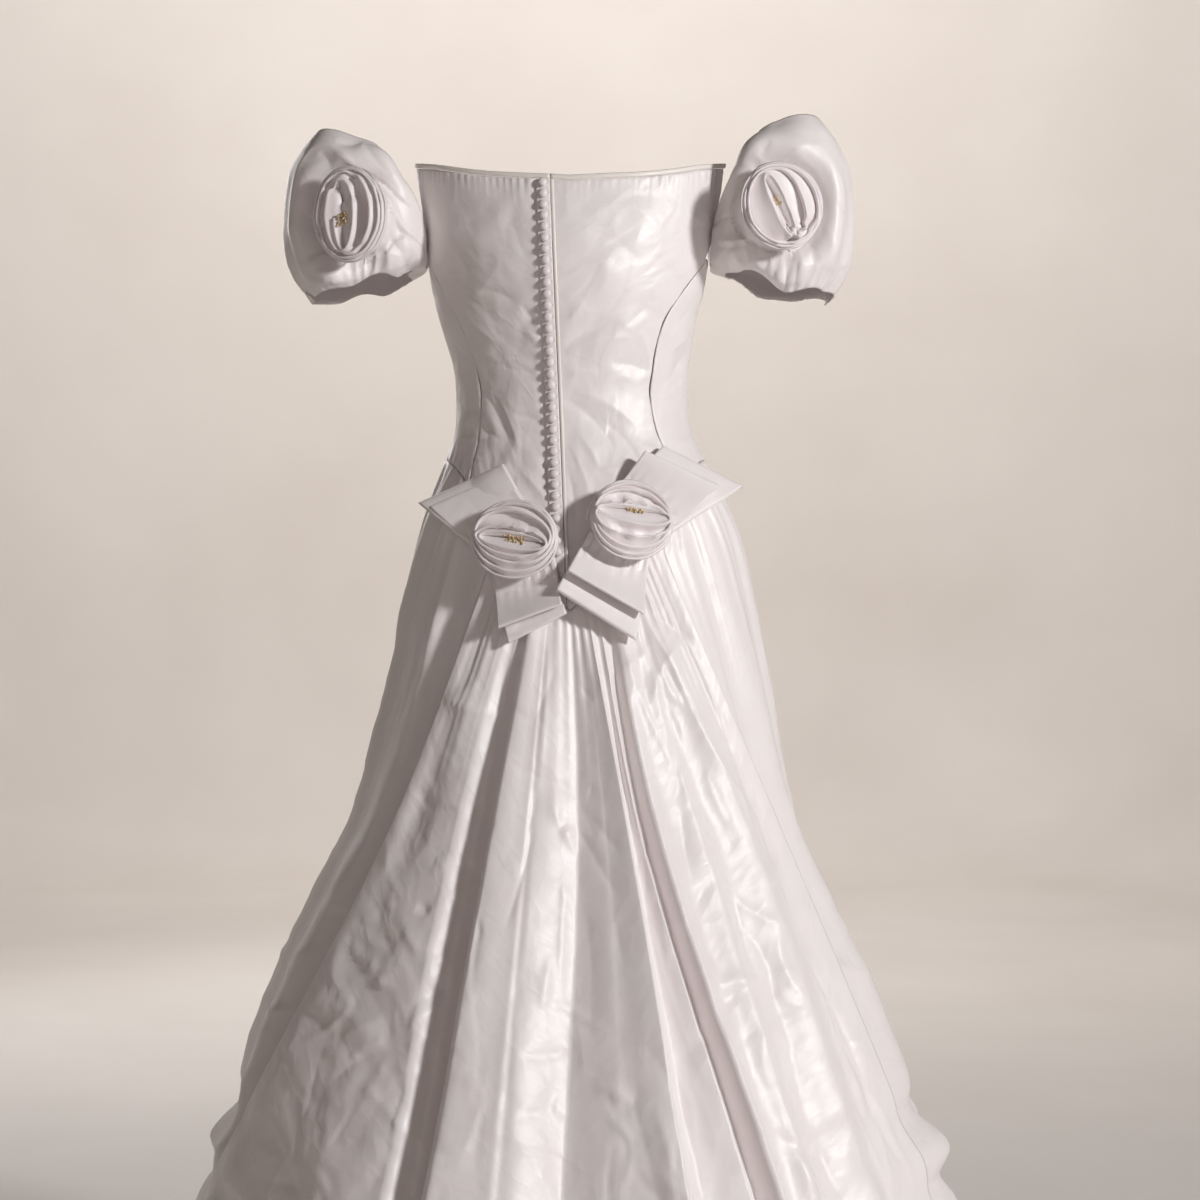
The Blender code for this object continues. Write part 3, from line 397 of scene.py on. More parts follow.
# Roses: place of the base, azimuth and tilt of the face in degrees, half
# length along the slit, half length across it, height of the outer wrap and of
# the inner one, turn of the slit from level in degrees
ROSES = {
    "sleeve_rose_left": ((0.2080, 0.0715, 0.177), 20, 0, 0.0480, 0.0430, 0.018, 0.028, 86),
    "sleeve_rose_right": ((-0.2000, 0.0735, 0.185), -10, 0, 0.0440, 0.0450, 0.018, 0.028, 62),
    "waist_rose_left": ((0.0490, 0.1195, -0.1440), 12, 14, 0.0440, 0.0425, 0.020, 0.030, 8),
    "waist_rose_right": ((-0.0540, 0.1155, -0.1245), -13, 14, 0.0420, 0.0410, 0.020, 0.030, 7),
}
# Wraps of each rose, from the outer end of its fold to the inner one: turn,
# then in millimetres half length, half length across, shift of the middle
# along and across the slit, and height of the rim.
WRAPS = {
    "sleeve_rose_left": (
        (0.0, 47.0, 40.0, 0, 0, 15), (1.0, 46.0, 37.5, 0, 0, 18.5), (2.0, 44.5, 35.5, 0, 0, 21.5),
        (2.75, 43.0, 32.0, 0, 0, 23.5), (3.25, 40.0, 26.5, -1, 0, 25),
        (3.75, 37.0, 22.0, -2, 0, 26.5),
        (4.25, 34.0, 13.0, -3, -4, 27), (4.75, 31.0, 9.0, -4, -4, 26),
    ),
    "sleeve_rose_right": (
        (0.0, 43.5, 42.0, 0, 0, 15), (1.0, 42.0, 39.5, 0, 0, 19), (2.0, 40.0, 36.5, 0, 0, 22),
        (2.75, 38.5, 35.0, 0, 0, 23.5), (3.25, 36.0, 24.0, 1, -2, 25.5),
        (3.75, 34.0, 12.0, 1, 1, 27.5),
        (4.25, 31.0, 8.0, 1, -4, 27), (4.75, 29.0, 6.0, 1, -5, 26),
    ),
    "waist_rose_left": (
        (0.0, 43.0, 41.5, 0, 0, 17), (1.0, 42.0, 37.5, 0, 2.5, 21), (2.0, 40.5, 33.0, 0, 4, 24),
        (3.0, 38.5, 27.5, 0, 6, 26.5), (4.0, 36.5, 14.0, 0, -1, 29), (5.0, 33.0, 8.0, 0, -1, 29),
        (5.5, 30.0, 6.0, 0, 0, 27.5),
    ),
    "waist_rose_right": (
        (0.0, 41.0, 40.5, 0, 0, 17), (1.0, 40.0, 38.5, 0, 1, 21), (2.0, 39.0, 35.0, 0, 2, 24),
        (3.0, 38.0, 30.0, 0, 3.5, 26), (4.0, 37.0, 15.5, 0, 0, 29.5), (5.0, 35.0, 8.0, 0, 6, 29.5),
        (5.5, 32.0, 3.5, 0, 8, 28),
    ),
}
# Puckers of a rim, and pockets sunk in the face outside it: turn and degrees
# round the rose, half width in degrees, depth in millimetres
PUCKERS = {
    "sleeve_rose_left": (
        (1, 40, 7, 1.6), (2, 75, 6, 2.0), (3, 20, 8, 2.8), (3, 330, 9, 3.0), (4, 55, 8, 2.2),
        (3, 200, 7, 2.2), (2, 250, 8, 1.8), (1, 160, 7, 1.6), (3, 150, 8, 2.6),
    ),
    "sleeve_rose_right": (
        (1, 120, 8, 1.8), (2, 150, 7, 2.8), (3, 168, 8, 3.6), (3, 140, 6, 2.6), (3, 195, 8, 3.4),
        (2, 205, 7, 2.6), (4, 215, 9, 2.4), (2, 300, 8, 1.6), (4, 160, 9, 2.8), (1, 330, 8, 1.4),
    ),
    "waist_rose_left": (
        (1, 118, 6, 1.6), (4, 80, 6, 2.4), (4, 98, 5, 3.2), (4, 114, 6, 2.8), (4, 62, 7, 1.8),
        (2, 55, 7, 1.6), (1, 292, 8, 1.6), (2, 262, 8, 2.0), (3, 238, 8, 1.6), (1, 200, 7, 1.4),
    ),
    "waist_rose_right": (
        (4, 92, 7, 4.0), (4, 66, 8, 4.4), (4, 118, 7, 3.4), (4, 42, 8, 3.4), (3, 104, 6, 1.8),
        (3, 250, 9, 3.4), (3, 285, 8, 3.0), (3, 220, 8, 3.0), (1, 265, 7, 1.6), (1, 50, 7, 1.2),
    ),
}
POCKETS = {
    "sleeve_rose_left": ((4.25, 90, 55, 13), (3.9, 300, 25, 3), (2.4, 40, 22, 2)),
    "sleeve_rose_right": ((3.4, 150, 18, 5), (3.5, 195, 16, 6), (4.3, 110, 30, 4)),
    "waist_rose_left": ((4.28, 96, 50, 3), (4.7, 255, 30, 2)),
    "waist_rose_right": (
        (4.25, 92, 12, 5), (4.18, 64, 12, 6), (4.33, 120, 12, 4), (4.68, 238, 22, 6),
        (4.79, 282, 20, 6), (4.58, 200, 12, 5),
    ),
}
ROSE_RIM = 0.0009  # radius of the folded rim
ROSE_COLUMNS = 560
ROSE_SEED = 101
ROSE_FALL = 0.0056  # how far a wrap falls behind the rim of the next one
ROSE_FOOT = 0.54  # how far in the outer wrap's foot lies, as a share of its rim
ROSE_TOUCH = 0.965  # how near the other wraps come to the rim outside them
BEADS = {
    # from and to along the slit as shares of its half length, and their number
    "sleeve_rose_left": (-0.24, 0.14, 18),
    "sleeve_rose_right": (0.02, 0.34, 15),
    "waist_rose_left": (-0.40, 0.26, 27),
    "waist_rose_right": (-0.30, 0.22, 15),
}
BEAD_RADIUS = 0.00125

# Bow loops, two for each bow, the upper one first: rose, both ends of the fold
# at the tip as sideways place and height, how far that fold stands off the
# rose's base, opening of the loop, and how far the loop lies in front
BOW_LOOPS = {
    "bow_upper_left": (
        ("waist_rose_left", (0.1490, -0.0990), (0.0665, -0.0620), -0.010, 0.012, 0.0),
        ("waist_rose_left", (0.1365, -0.1045), (0.0640, -0.0725), -0.007, 0.007, 0.0045),
    ),
    "bow_lower_left": (
        ("waist_rose_left", (0.0640, -0.2250), (0.0040, -0.2030), 0.013, 0.004, 0.0040),
        ("waist_rose_left", (0.0560, -0.2370), (0.0020, -0.2090), 0.008, 0.003, 0.0),
    ),
    "bow_upper_right": (
        ("waist_rose_right", (-0.0700, -0.0540), (-0.1420, -0.0870), 0.004, 0.010, 0.0040),
        ("waist_rose_right", (-0.0920, -0.0430), (-0.1700, -0.0820), -0.010, 0.008, 0.0),
    ),
    "bow_lower_right": (
        ("waist_rose_right", (0.0060, -0.1720), (-0.0650, -0.2130), 0.016, 0.004, 0.0045),
        ("waist_rose_right", (0.0150, -0.1880), (-0.0594, -0.2350), 0.012, 0.005, 0.0),
    ),
}
BOW_ROOT = 0.018
BOW_ROOT_HALF_WIDTH = 0.031
BOW_LAYERS = 0.0022
BOW_WALL = 0.0008
BOW_FLAT = 0.25
BOW_PATH = (
    (0.0, 0.0), (BOW_FLAT, 0.0), (0.5, 0.28), (0.75, 0.48), (0.93, 0.48), (0.985, 0.30),
    (1.0, 0.0),
    (0.985, -0.30), (0.93, -0.48), (0.75, -0.48), (0.5, -0.28), (BOW_FLAT, 0.0), (0.0, 0.0),
)
BOW_CLEAR = 0.0012

# How deep each kind of unevenness of the bodice is, and the size of its crumples
BODICE_CREASE_SHARE = 1.7
BODICE_DRAG = 0.0009
BODICE_CRUMPLE, BODICE_CRUMPLE_SIZE = 0.0013, 0.042
SEAM_PUCKER = 0.0004
NECK_GATHER = 0.0017
WAIST_GATHER = 0.0007
USUAL_CREASE_DEPTH = 0.0015  # the crease depth that the bodice's sizes are made for

# Closing
PLACKET_WIDTH = 0.0135
PIPING_WIDTH = 0.0036
PIPING_WALL = 0.0018
PIPING_APART = 0.0002
STRIP_CLEAR = 0.0006
BAND_WALL = 0.0011
BUTTONS = 34
BUTTON_TOP = 0.2065
BUTTON_LOW = -0.1500
BUTTON_RADIUS = 0.0044
BUTTON_DOME = 0.0048
BUTTON_CLEAR = 0.0005
STRIP_LOW = -0.173
BUTTON_SIDES = 24
BUTTON_RINGS = (
    # radius and rise as shares, and how far the cloth is pleated
    (0.80, 0.02, 0.0), (0.97, 0.16, 1.0), (1.0, 0.34, 0.8), (0.95, 0.55, 0.3), (0.80, 0.76, 0.0),
    (0.58, 0.90, 0.0), (0.30, 0.98, 0.0),
)
LOOP_RADIUS = 0.00045
BOW_ROWS, BOW_COLUMNS = 61, 40
SLEEVE_COLUMNS, SLEEVE_ROWS = 240, 100

# Walls, at a piece's middle and at its edges
BODICE_WALL, BODICE_EDGE = 0.0016, 0.0009
BINDING_WALL, BINDING_EDGE = 0.0020, 0.0014
SLEEVE_WALL, SLEEVE_EDGE = 0.0016, 0.0010
ROSE_WALL, ROSE_EDGE = 0.0006, 0.0004
STRIP_EDGE = 0.0005
BOW_EDGE = 0.0006
COARSE = 3  # the inner side of a cloth piece has every third point of its outer side

# Materials
DENTS_PER_METRE = 62.0  # dents about 16 mm apart, as fingers press them in
SLUBS_PER_METRE = 620.0  # threads lie 0.2 mm apart, too fine to show: drawn 1.6 mm wide
SLUB_DEPTH = 0.00002

# Stage
FLOOR = HEM - 0.001
SWEEP_SIDES = 96
SWEEP_BEND = 0.9
SWEEP_TOP = 3.9
SWEEP_MIDDLE = 0.01
BOARD_SHADE = "E8E3DF"
ROOM_COLOUR = "F4DCCB"
CAMERA_ACROSS = -0.0285
CAMERA_HEIGHT = -0.195
SENSOR_WIDTH = 36
LAMPS = {
    # place, what it is turned to, size, colour
    "key": ((-2.25, 2.0, 0.85), (0, 0.1, -0.3), 0.35, "FFFFFF"),
    "fill": ((1.0, 3.0, 1.0), (0, 0, -0.4), 0.9, "FFF4EE"),
    "wash": ((0, -3.0, 2.9), (0, -6.2, 0.3), 2.2, "FFF8F2"),
    "front": ((1.4, -3.0, 1.0), (0, 0, -0.3), 1.2, "FFFFFF"),
}


# ---- Form and seams ----


def curve(x, stations, values):
    """Smooth curve through the values at rising stations."""
    stations = np.asarray(stations, float)
    values = np.asarray(values, float)
    slopes = np.gradient(values, stations)
    x = np.clip(x, stations[0], stations[-1])
    i = np.clip(np.searchsorted(stations, x) - 1, 0, len(stations) - 2)
    length = stations[i + 1] - stations[i]
    t = (x - stations[i]) / length
    return (
        values[i] * (1 + 2 * t) * (1 - t) ** 2
        + slopes[i] * length * t * (1 - t) ** 2
        + values[i + 1] * t * t * (3 - 2 * t)
        - slopes[i + 1] * length * t * t * (1 - t)
    )


def looked_up(x, table, column=1):
    """Smooth curve through one column of a table whose first column rises."""
    return curve(x, table[:, 0], table[:, column])


def eased(share):
    """A share from 0 to 1 that starts and stops softly."""
    return share * share * (3 - 2 * share)


def form(height, column):
    """Half width or half depth of the gown without its folds, by height."""
    return looked_up(height, FORM, FORM_COLUMNS.index(column))


def half_width(angle, height):
    """Half width of the form on the side that the angle is on."""
    return np.where(np.sin(angle) > 0, form(height, "left"), form(height, "right"))


def half_depth(angle, height):
    """Half depth of the form behind or before the wearer's sides."""
    return np.where(np.cos(angle) > 0, form(height, "back"), form(height, "front"))


def on_form(angle, height, out=0.0):
    """Points on the form, moved out by the given distance in their own level."""
    angle, height = np.broadcast_arrays(angle, height)
    width = half_width(angle, height)
    depth = half_depth(angle, height)
    across = np.sin(angle) / width
    along = np.cos(angle) / depth
    size = np.hypot(across, along)
    x = width * np.sin(angle) + out * across / size
    y = depth * np.cos(angle) + out * along / size
    return np.stack([x, y, height + 0 * x], axis=-1)


def seam_angle(height):
    """Half a seam's clearance as an angle."""
    return 0.5 * SEAM / np.minimum(form(height, "back"), form(height, "front"))


def from_back(angle):
    """Degrees from the centre back, on either side."""
    return np.abs((np.degrees(angle) + 180) % 360 - 180)


def waist(angle):
    return looked_up(from_back(angle), WAIST_SEAM)


def back_neck(angle):
    return looked_up(from_back(angle), BACK_NECK)


def front_neck(angle):
    return looked_up(from_back(angle), FRONT_NECK)


def closing_place(height):
    """Sideways place of the line where the back closes."""
    low, high = CENTRE_BACK_LOW, CENTRE_BACK_HIGH
    return low[1] + (high[1] - low[1]) * (height - low[0]) / (high[0] - low[0])


def width_beside(place, height):
    """Half width of the form on the side that a sideways place is on."""
    return np.where(np.asarray(place) > 0, form(height, "left"), form(height, "right"))


def place_angle(place, height):
    """Angle of a point of the back at this sideways place."""
    return np.arcsin(np.clip(place / width_beside(place, height), -1, 1))


def closing(height, aside=0.0):
    """Angle of the closing, or of a line beside it."""
    return place_angle(closing_place(height) + aside, height)


def princess(height, side):
    """Angle of the curved seam between the back panel and the side back panel."""
    column = 1 if side > 0 else 2
    return side * np.radians(looked_up(height, PRINCESS_SEAM, column))


def level(degrees):
    """A seam that keeps its angle."""
    return lambda height: np.radians(degrees) + 0 * height


def inset(line, side):
    """The line moved by half a seam's clearance, so that a gap stays."""
    return lambda height: line(height) + side * seam_angle(height)


def meeting_height(edge, start, stop, u):
    """Height at which the column u between two seam lines meets an edge."""
    height = edge(0.5 * (start(np.zeros(1)) + stop(np.zeros(1)))) + 0 * u
    for _ in range(MEETING_STEPS):
        height = edge(start(height) * (1 - u) + stop(height) * u)
    return height


# ---- How cloth folds and creases ----


def hashed(i, j, seed):
    """Repeatable numbers from 0 to 1 for whole-numbered places."""
    mixed = np.sin(i * 127.1 + j * 311.7 + seed * 74.7) * 43758.5453
    return mixed - np.floor(mixed)


def noise(x, y, seed):
    """Smooth noise from about -1 to 1, with one bump to each unit."""
    i, j = np.floor(x), np.floor(y)
    fx, fy = x - i, y - j
    sx = fx * fx * fx * (fx * (6 * fx - 15) + 10)
    sy = fy * fy * fy * (fy * (6 * fy - 15) + 10)
    total = 0
    for di, wx in ((0, 1 - sx), (1, sx)):
        for dj, wy in ((0, 1 - sy), (1, sy)):
            turn = 2 * math.pi * hashed(i + di, j + dj, seed)
            total = total + wx * wy * (np.cos(turn) * (fx - di) + np.sin(turn) * (fy - dj))
    return 1.5 * total


def facets(x, y, seed):
    """Leaning pyramids that meet in crisp lines, one to each unit, from about -0.5 to 0.5."""
    i, j = np.floor(x), np.floor(y)
    highest = np.full(np.shape(x), -9.0)
    for di in (-1, 0, 1):
        for dj in (-1, 0, 1):
            a, b = i + di, j + dj
            dx = x - a - hashed(a, b, seed)
            dy = y - b - hashed(a, b, seed + 1)
            turn = math.pi * hashed(a, b, seed + 5)
            along = dx * np.cos(turn) + dy * np.sin(turn)
            aside = dy * np.cos(turn) - dx * np.sin(turn)
            lean = (hashed(a, b, seed + 2) - 0.5) * dx + (hashed(a, b, seed + 3) - 0.5) * dy
            slope = 0.55 * np.abs(along) + 1.05 * np.abs(aside)
            pyramid = 0.5 * hashed(a, b, seed + 4) - slope + 0.9 * lean
            highest = np.maximum(highest, pyramid)
    return highest + 0.15


def crumple(across, down, size, seed):
    """Crisp ridges and valleys of cloth that was pressed together, about `size` apart."""
    x, y = across / size, down / size
    bend_x, bend_y = noise(x * 0.8, y * 0.8, seed + 5), noise(x * 0.8, y * 0.8, seed + 6)
    x, y = x + 0.35 * bend_x, y + 0.35 * bend_y
    return facets(x, y, seed) - facets(0.9 * x + 31.7, 0.9 * y + 11.3, seed + 9)


def press_creases(across, height, rows, crispness=1.1):
    """How far creases move the cloth out, in metres. Each fades out towards its two ends."""
    out = np.zeros(np.broadcast(across, height).shape)
    across, height = across * 1000, height * 1000
    for x1, z1, x2, z2, bend, half, depth in rows:
        length = math.hypot(x2 - x1, z2 - z1)
        ux, uz = (x2 - x1) / length, (z2 - z1) / length
        along = ((across - x1) * ux + (height - z1) * uz) / length
        aside = (across - x1) * uz - (height - z1) * ux - 4 * bend * along * (1 - along)
        near = (along > 0) & (along < 1) & (np.abs(aside) < 4 * half)
        fade = np.sin(math.pi * along[near]) ** 0.75
        side = np.abs(aside[near]) / (half * (0.4 + 0.6 * fade))
        out[near] += 0.001 * depth * fade * np.exp(-(side**crispness))
    return out


def strewn_creases(count, box, lengths, lean, seed, widen=0.06, deepen=0.025):
    """Rows of uneven small creases strewn over a box, for press_creases."""
    draw = np.random.default_rng(seed)
    (left, right), (low, high) = box
    rows = []
    for _ in range(count):
        x, z = draw.uniform(left, right), draw.uniform(low, high)
        length = lengths[0] + (lengths[1] - lengths[0]) * draw.random() ** 2
        turn = math.radians(draw.normal(*lean))
        half = draw.uniform(2.5, 4.5) + widen * length
        depth = draw.choice([-1, 1]) * draw.uniform(0.5, 1.2) * (0.7 + deepen * length)
        dx, dz = 0.5 * length * math.cos(turn), 0.5 * length * math.sin(turn)
        rows.append((x - dx, z - dz, x + dx, z + dz, draw.normal(0, 0.07) * length, half, depth))
    return rows


def gathers(place, spacing, seed):
    """Uneven small pleats across a gathered seam, from -1 to 1."""
    sway = 0.9 * noise(place / (4 * spacing), 0 * place + 0.5, seed)
    wave = np.sin(2 * math.pi * (place / spacing + sway))
    strength = 0.65 + 0.6 * noise(place / (2.5 * spacing), 0 * place + 7.5, seed + 3)
    return np.sign(wave) * np.abs(wave) ** 0.8 * strength


def lengths_along(grid, axis):
    """Distance along each row or column of a grid from its first point."""
    steps = np.linalg.norm(np.diff(grid, axis=axis), axis=-1)
    return np.insert(np.cumsum(steps, axis=axis), 0, 0, axis=axis)


def normals(grid, around=False):
    """Unit normals of a grid, facing out where angles rise and rows descend."""
    if around:
        across = np.roll(grid, -1, axis=1) - np.roll(grid, 1, axis=1)
    else:
        across = np.gradient(grid, axis=1)
    down = np.gradient(grid, axis=0)
    out = np.cross(across, down)
    return out / np.maximum(np.linalg.norm(out, axis=-1, keepdims=True), 1e-12)


# ---- Meshes ----


def add_mesh(name, points, faces, coats, uv=None, smooth=None):
    """Object of these faces, in row-frame metres. coats are its materials."""
    mesh = bpy.data.meshes.new(name)
    mesh.from_pydata([tuple(p) for p in points], [], [tuple(int(i) for i in f) for f in faces])
    mesh.polygons.foreach_set("use_smooth", smooth if smooth is not None else [True] * len(faces))
    if uv is not None:
        layer = mesh.uv_layers.new(name="cloth")
        corner = np.empty(len(mesh.loops), np.int32)
        mesh.loops.foreach_get("vertex_index", corner)
        layer.data.foreach_set("uv", np.asarray(uv, np.float32)[corner].ravel())
    for coat in coats:
        mesh.materials.append(coat)
    mesh.update()
    made = bpy.data.objects.new(name, mesh)
    bpy.context.scene.collection.objects.link(made)
    return made


def ring_faces(rings, sides, turned=False):
    """Faces between each ring of points and the next one."""
    faces = []
    for low in range(0, (rings - 1) * sides, sides):
        for i in range(sides):
            j = (i + 1) % sides
            face = [low + i, low + j, low + sides + j, low + sides + i]
            faces.append([face[0], *face[:0:-1]] if turned else face)
    return faces


def cloth_shell(name, grid, coat, thickness=0.0022, coarse=COARSE, edge=0.0012, around=False):
    """Thin closed cloth: the fine grid outside, every `coarse`-th point of it inside."""
    rows, columns = grid.shape[:2]
    facing = normals(grid, around)
    low = grid[::coarse, ::coarse]
    depth = np.full(low.shape[:2], thickness)
    depth[0] = depth[-1] = edge
    if not around:
        depth[:, 0] = depth[:, -1] = edge
    inner = low - depth[..., None] * facing[::coarse, ::coarse]
    count = rows * columns
    index = np.arange(count).reshape(rows, columns)
    under = count + np.arange(inner.shape[0] * inner.shape[1]).reshape(inner.shape[:2])
    if around:
        index = np.concatenate([index, index[:, :1]], axis=1)
        under = np.concatenate([under, under[:, :1]], axis=1)

    def sheet(at, turned):
        corners = [at[:-1, :-1], at[:-1, 1:], at[1:, 1:], at[1:, :-1]]
        if turned:
            corners = [corners[0], corners[3], corners[2], corners[1]]
        return np.stack(corners, axis=-1).reshape(-1, 4).tolist()

    faces = sheet(index, False) + sheet(under, True)
    flat_from = len(faces)
    borders = [(index[0], under[0], True), (index[-1], under[-1], False)]
    if not around:
        borders += [(index[:, 0], under[:, 0], False), (index[:, -1], under[:, -1], True)]
    for fine, rough, turned in borders:
        for step in range(len(rough) - 1):
            strip = list(fine[step * coarse : (step + 1) * coarse + 1])
            corners = strip + [rough[step + 1], rough[step]]
            faces.append(corners[::-1] if turned else corners)
    smooth = [i < flat_from for i in range(len(faces))]
    if around:
        closed = np.concatenate([grid, grid[:, :1]], axis=1)
        across, down = lengths_along(closed, 1)[:, :-1], lengths_along(grid, 0)
    else:
        across, down = lengths_along(grid, 1), lengths_along(grid, 0)
        across = across - across[:, columns // 2 : columns // 2 + 1]
    uv = np.stack([across, down], axis=-1)
    uv = np.concatenate([uv.reshape(-1, 2), uv[::coarse, ::coarse].reshape(-1, 2)])
    points = np.concatenate([grid.reshape(-1, 3), inner.reshape(-1, 3)])
    return add_mesh(name, points, faces, [coat], uv, smooth)


def even_count(wanted, coarse):
    """Number of grid lines near the wanted one that a coarser grid can share."""
    return coarse * max(1, round((wanted - 1) / coarse)) + 1


def sew(piece, slot, *nodes):
    """The piece rides on the gown and stands for these nodes, whose solids it hides. The slot is
    not used.
    """
    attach(piece, "root")
    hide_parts(*nodes)
    return piece


# ---- Cloth and trimmings ----

RGBA_A, RGBA_B, RGBA_RESULT = 6, 7, 2  # the mix node's colour sockets


def linear(code):
    """sRGB hex turned to linear light."""
    parts = [int(code[i : i + 2], 16) / 255 for i in (0, 2, 4)]
    return [p / 12.92 if p <= 0.04045 else ((p + 0.055) / 1.055) ** 2.4 for p in parts]


def add_node(tree, kind, sockets=None, links=None, **settings):
    """Adds a node with its settings, socket values and the outputs linked to its inputs."""
    made = tree.nodes.new(kind)
    for name, value in settings.items():
        setattr(made, name, value)
    for name, value in (sockets or {}).items():
        made.inputs[name].default_value = value
    for name, output in (links or {}).items():
        tree.links.new(output, made.inputs[name])
    return made


def new_coat(name, sockets):
    """A material and its shader, with these values on the shader's own sockets."""
    coat = bpy.data.materials.new(name)
    coat.use_nodes = True
    shader = coat.node_tree.nodes["Principled BSDF"]
    for socket, value in sockets.items():
        shader.inputs[socket].default_value = value
    return coat, coat.node_tree, shader


def spread(tree, place, scale, detail):
    """Noise over the cloth, with this many bumps to the metre in each direction."""
    moved = add_node(tree, "ShaderNodeMapping", {"Scale": scale}, {"Vector": place})
    sockets = {"Scale": 1.0, "Detail": detail, "Roughness": 0.5}
    made = add_node(tree, "ShaderNodeTexNoise", sockets, {"Vector": moved.outputs["Vector"]})
    return made.outputs["Fac"]


def ranged(tree, value, low, high):
    """The middle of a noise's range turned to this range."""
    sockets = {"From Min": 0.3, "From Max": 0.7, "To Min": low, "To Max": high}
    return add_node(tree, "ShaderNodeMapRange", sockets, {"Value": value}).outputs["Result"]


def bumped(tree, height, distance, below=None):
    """A bump of this depth in metres, laid over another one."""
    links = {"Height": height}
    if below is not None:
        links["Normal"] = below
    sockets = {"Strength": 1.0, "Distance": distance}
    return add_node(tree, "ShaderNodeBump", sockets, links).outputs["Normal"]


def mixed(tree, share, first, second):
    """Two colours mixed by a varying share."""
    sockets = {RGBA_A: (*linear(first), 1), RGBA_B: (*linear(second), 1)}
    made = add_node(tree, "ShaderNodeMix", sockets, {"Factor": share}, data_type="RGBA")
    return made.outputs[RGBA_RESULT]


def woven_taffeta(name, colour, shade, sizes, dent_share=1.0):
    """Plain-woven taffeta, calendered smooth.

    It gives crisp cloth with a broad soft sheen, small dents where it was
    pressed together, and faint slubs along the weft.
    """
    sockets = {"Roughness": 0.42, "IOR": 1.5, "Sheen Weight": 0.1, "Sheen Roughness": 0.35}
    coat, tree, shader = new_coat(name, sockets)
    place = add_node(tree, "ShaderNodeUVMap", uv_map="cloth").outputs["UV"]
    slub = 1 / sizes.slub_length
    weft = spread(tree, place, (slub, SLUBS_PER_METRE, 1.0), 2.0)
    warp = spread(tree, place, (SLUBS_PER_METRE, 0.6 * slub, 1.0), 2.0)
    sway = spread(tree, place, (30.0, 30.0, 1.0), 2.0)
    sway_by = {1: (0.03, 0.03, 0.0)}
    links = {0: sway, 2: place}
    moved = add_node(tree, "ShaderNodeVectorMath", sway_by, links, operation="MULTIPLY_ADD")
    links = {"Vector": moved.outputs["Vector"]}
    cells = add_node(tree, "ShaderNodeTexVoronoi", {"Scale": DENTS_PER_METRE}, links)
    relief = bumped(tree, cells.outputs["Distance"], dent_share * sizes.dent_depth)
    relief = bumped(tree, weft, SLUB_DEPTH, relief)
    relief = bumped(tree, warp, SLUB_DEPTH, relief)
    tree.links.new(relief, shader.inputs["Normal"])
    tone = ranged(tree, spread(tree, place, (9.0, 9.0, 1.0), 3.0), 0.0, 0.4)
    tree.links.new(mixed(tree, tone, colour, shade), shader.inputs["Base Color"])
    tree.links.new(ranged(tree, weft, 0.38, 0.46), shader.inputs["Roughness"])
    return coat


def spun_loops(name, colour):
    """Rouleau cord for the button loops: turned taffeta bias, matt with a fine twist."""
    sockets = {"Roughness": 0.55, "IOR": 1.5, "Sheen Weight": 0.2}
    coat, tree, shader = new_coat(name, sockets)
    place = add_node(tree, "ShaderNodeTexCoord").outputs["Object"]
    twist = spread(tree, place, (900.0, 900.0, 500.0), 2.0)
    tree.links.new(bumped(tree, twist, 0.0001), shader.inputs["Normal"])
    tree.links.new(mixed(tree, twist, colour, "D8C6C2"), shader.inputs["Base Color"])
    return coat


def lacquered_bead(name, colour, deep):
    """Pressed glass bead with pearl lacquer: a small clear highlight over a warm body."""
    sockets = {"Roughness": 0.18, "IOR": 1.52, "Coat Weight": 0.8, "Coat Roughness": 0.08}
    coat, tree, shader = new_coat(name, sockets)
    place = add_node(tree, "ShaderNodeTexCoord").outputs["Object"]
    tone = ranged(tree, spread(tree, place, (400.0, 400.0, 400.0), 1.0), 0.0, 1.0)
    tree.links.new(mixed(tree, tone, colour, deep), shader.inputs["Base Color"])
    return coat


def painted_board(name, colour, shade):
    """Studio floor and sweep of painted board: even, matt, faintly mottled."""
    coat, tree, shader = new_coat(name, {"Roughness": 0.85, "IOR": 1.45})
    place = add_node(tree, "ShaderNodeTexCoord").outputs["Object"]
    tone = ranged(tree, spread(tree, place, (1.5, 1.5, 1.5), 3.0), 0.0, 1.0)
    tree.links.new(mixed(tree, tone, colour, shade), shader.inputs["Base Color"])
    return coat


def coat_of(kind):
    """The gown's materials, each made once from the panel's colours."""
    cloth = bpy.context.scene.gown_cloth
    kinds = {
        # material, how it is made, its colours, and for taffeta its sizes and share of dents
        "blush": ("blush_taffeta_woven", woven_taffeta, cloth.blush, cloth.blush_shade, cloth),
        "bow": ("bow_taffeta_pressed", woven_taffeta, cloth.blush, cloth.blush_shade, cloth, 0.15),
        "rose": ("rose_taffeta_woven", woven_taffeta, cloth.rose, cloth.rose_shade, cloth, 0.5),
        "ivory": (
            "ivory_taffeta_folded", woven_taffeta, cloth.ivory, cloth.blush_shade, cloth, 0.4,
        ),
        "loops": ("rouleau_loops_spun", spun_loops, cloth.rose),
        "bead": ("pearl_bead_lacquered", lacquered_bead, cloth.bead, cloth.bead_deep),
    }
    name, make, *facts = kinds[kind]
    return bpy.data.materials.get(name) or make(name, *facts)


# ---- Skirt ----


def back_line(row):
    """Angle of a fold line of the back panel, by height."""
    places = BACK_FOLDS[row, :4] / 1000
    return lambda height: place_angle(curve(height, BACK_STATIONS, places), height)


def side_line(folds, row, side):
    """Angle of a fold line of a side panel, by height."""
    degrees = folds[row, :3]
    return lambda height: side * np.radians(curve(height, SIDE_STATIONS, degrees))


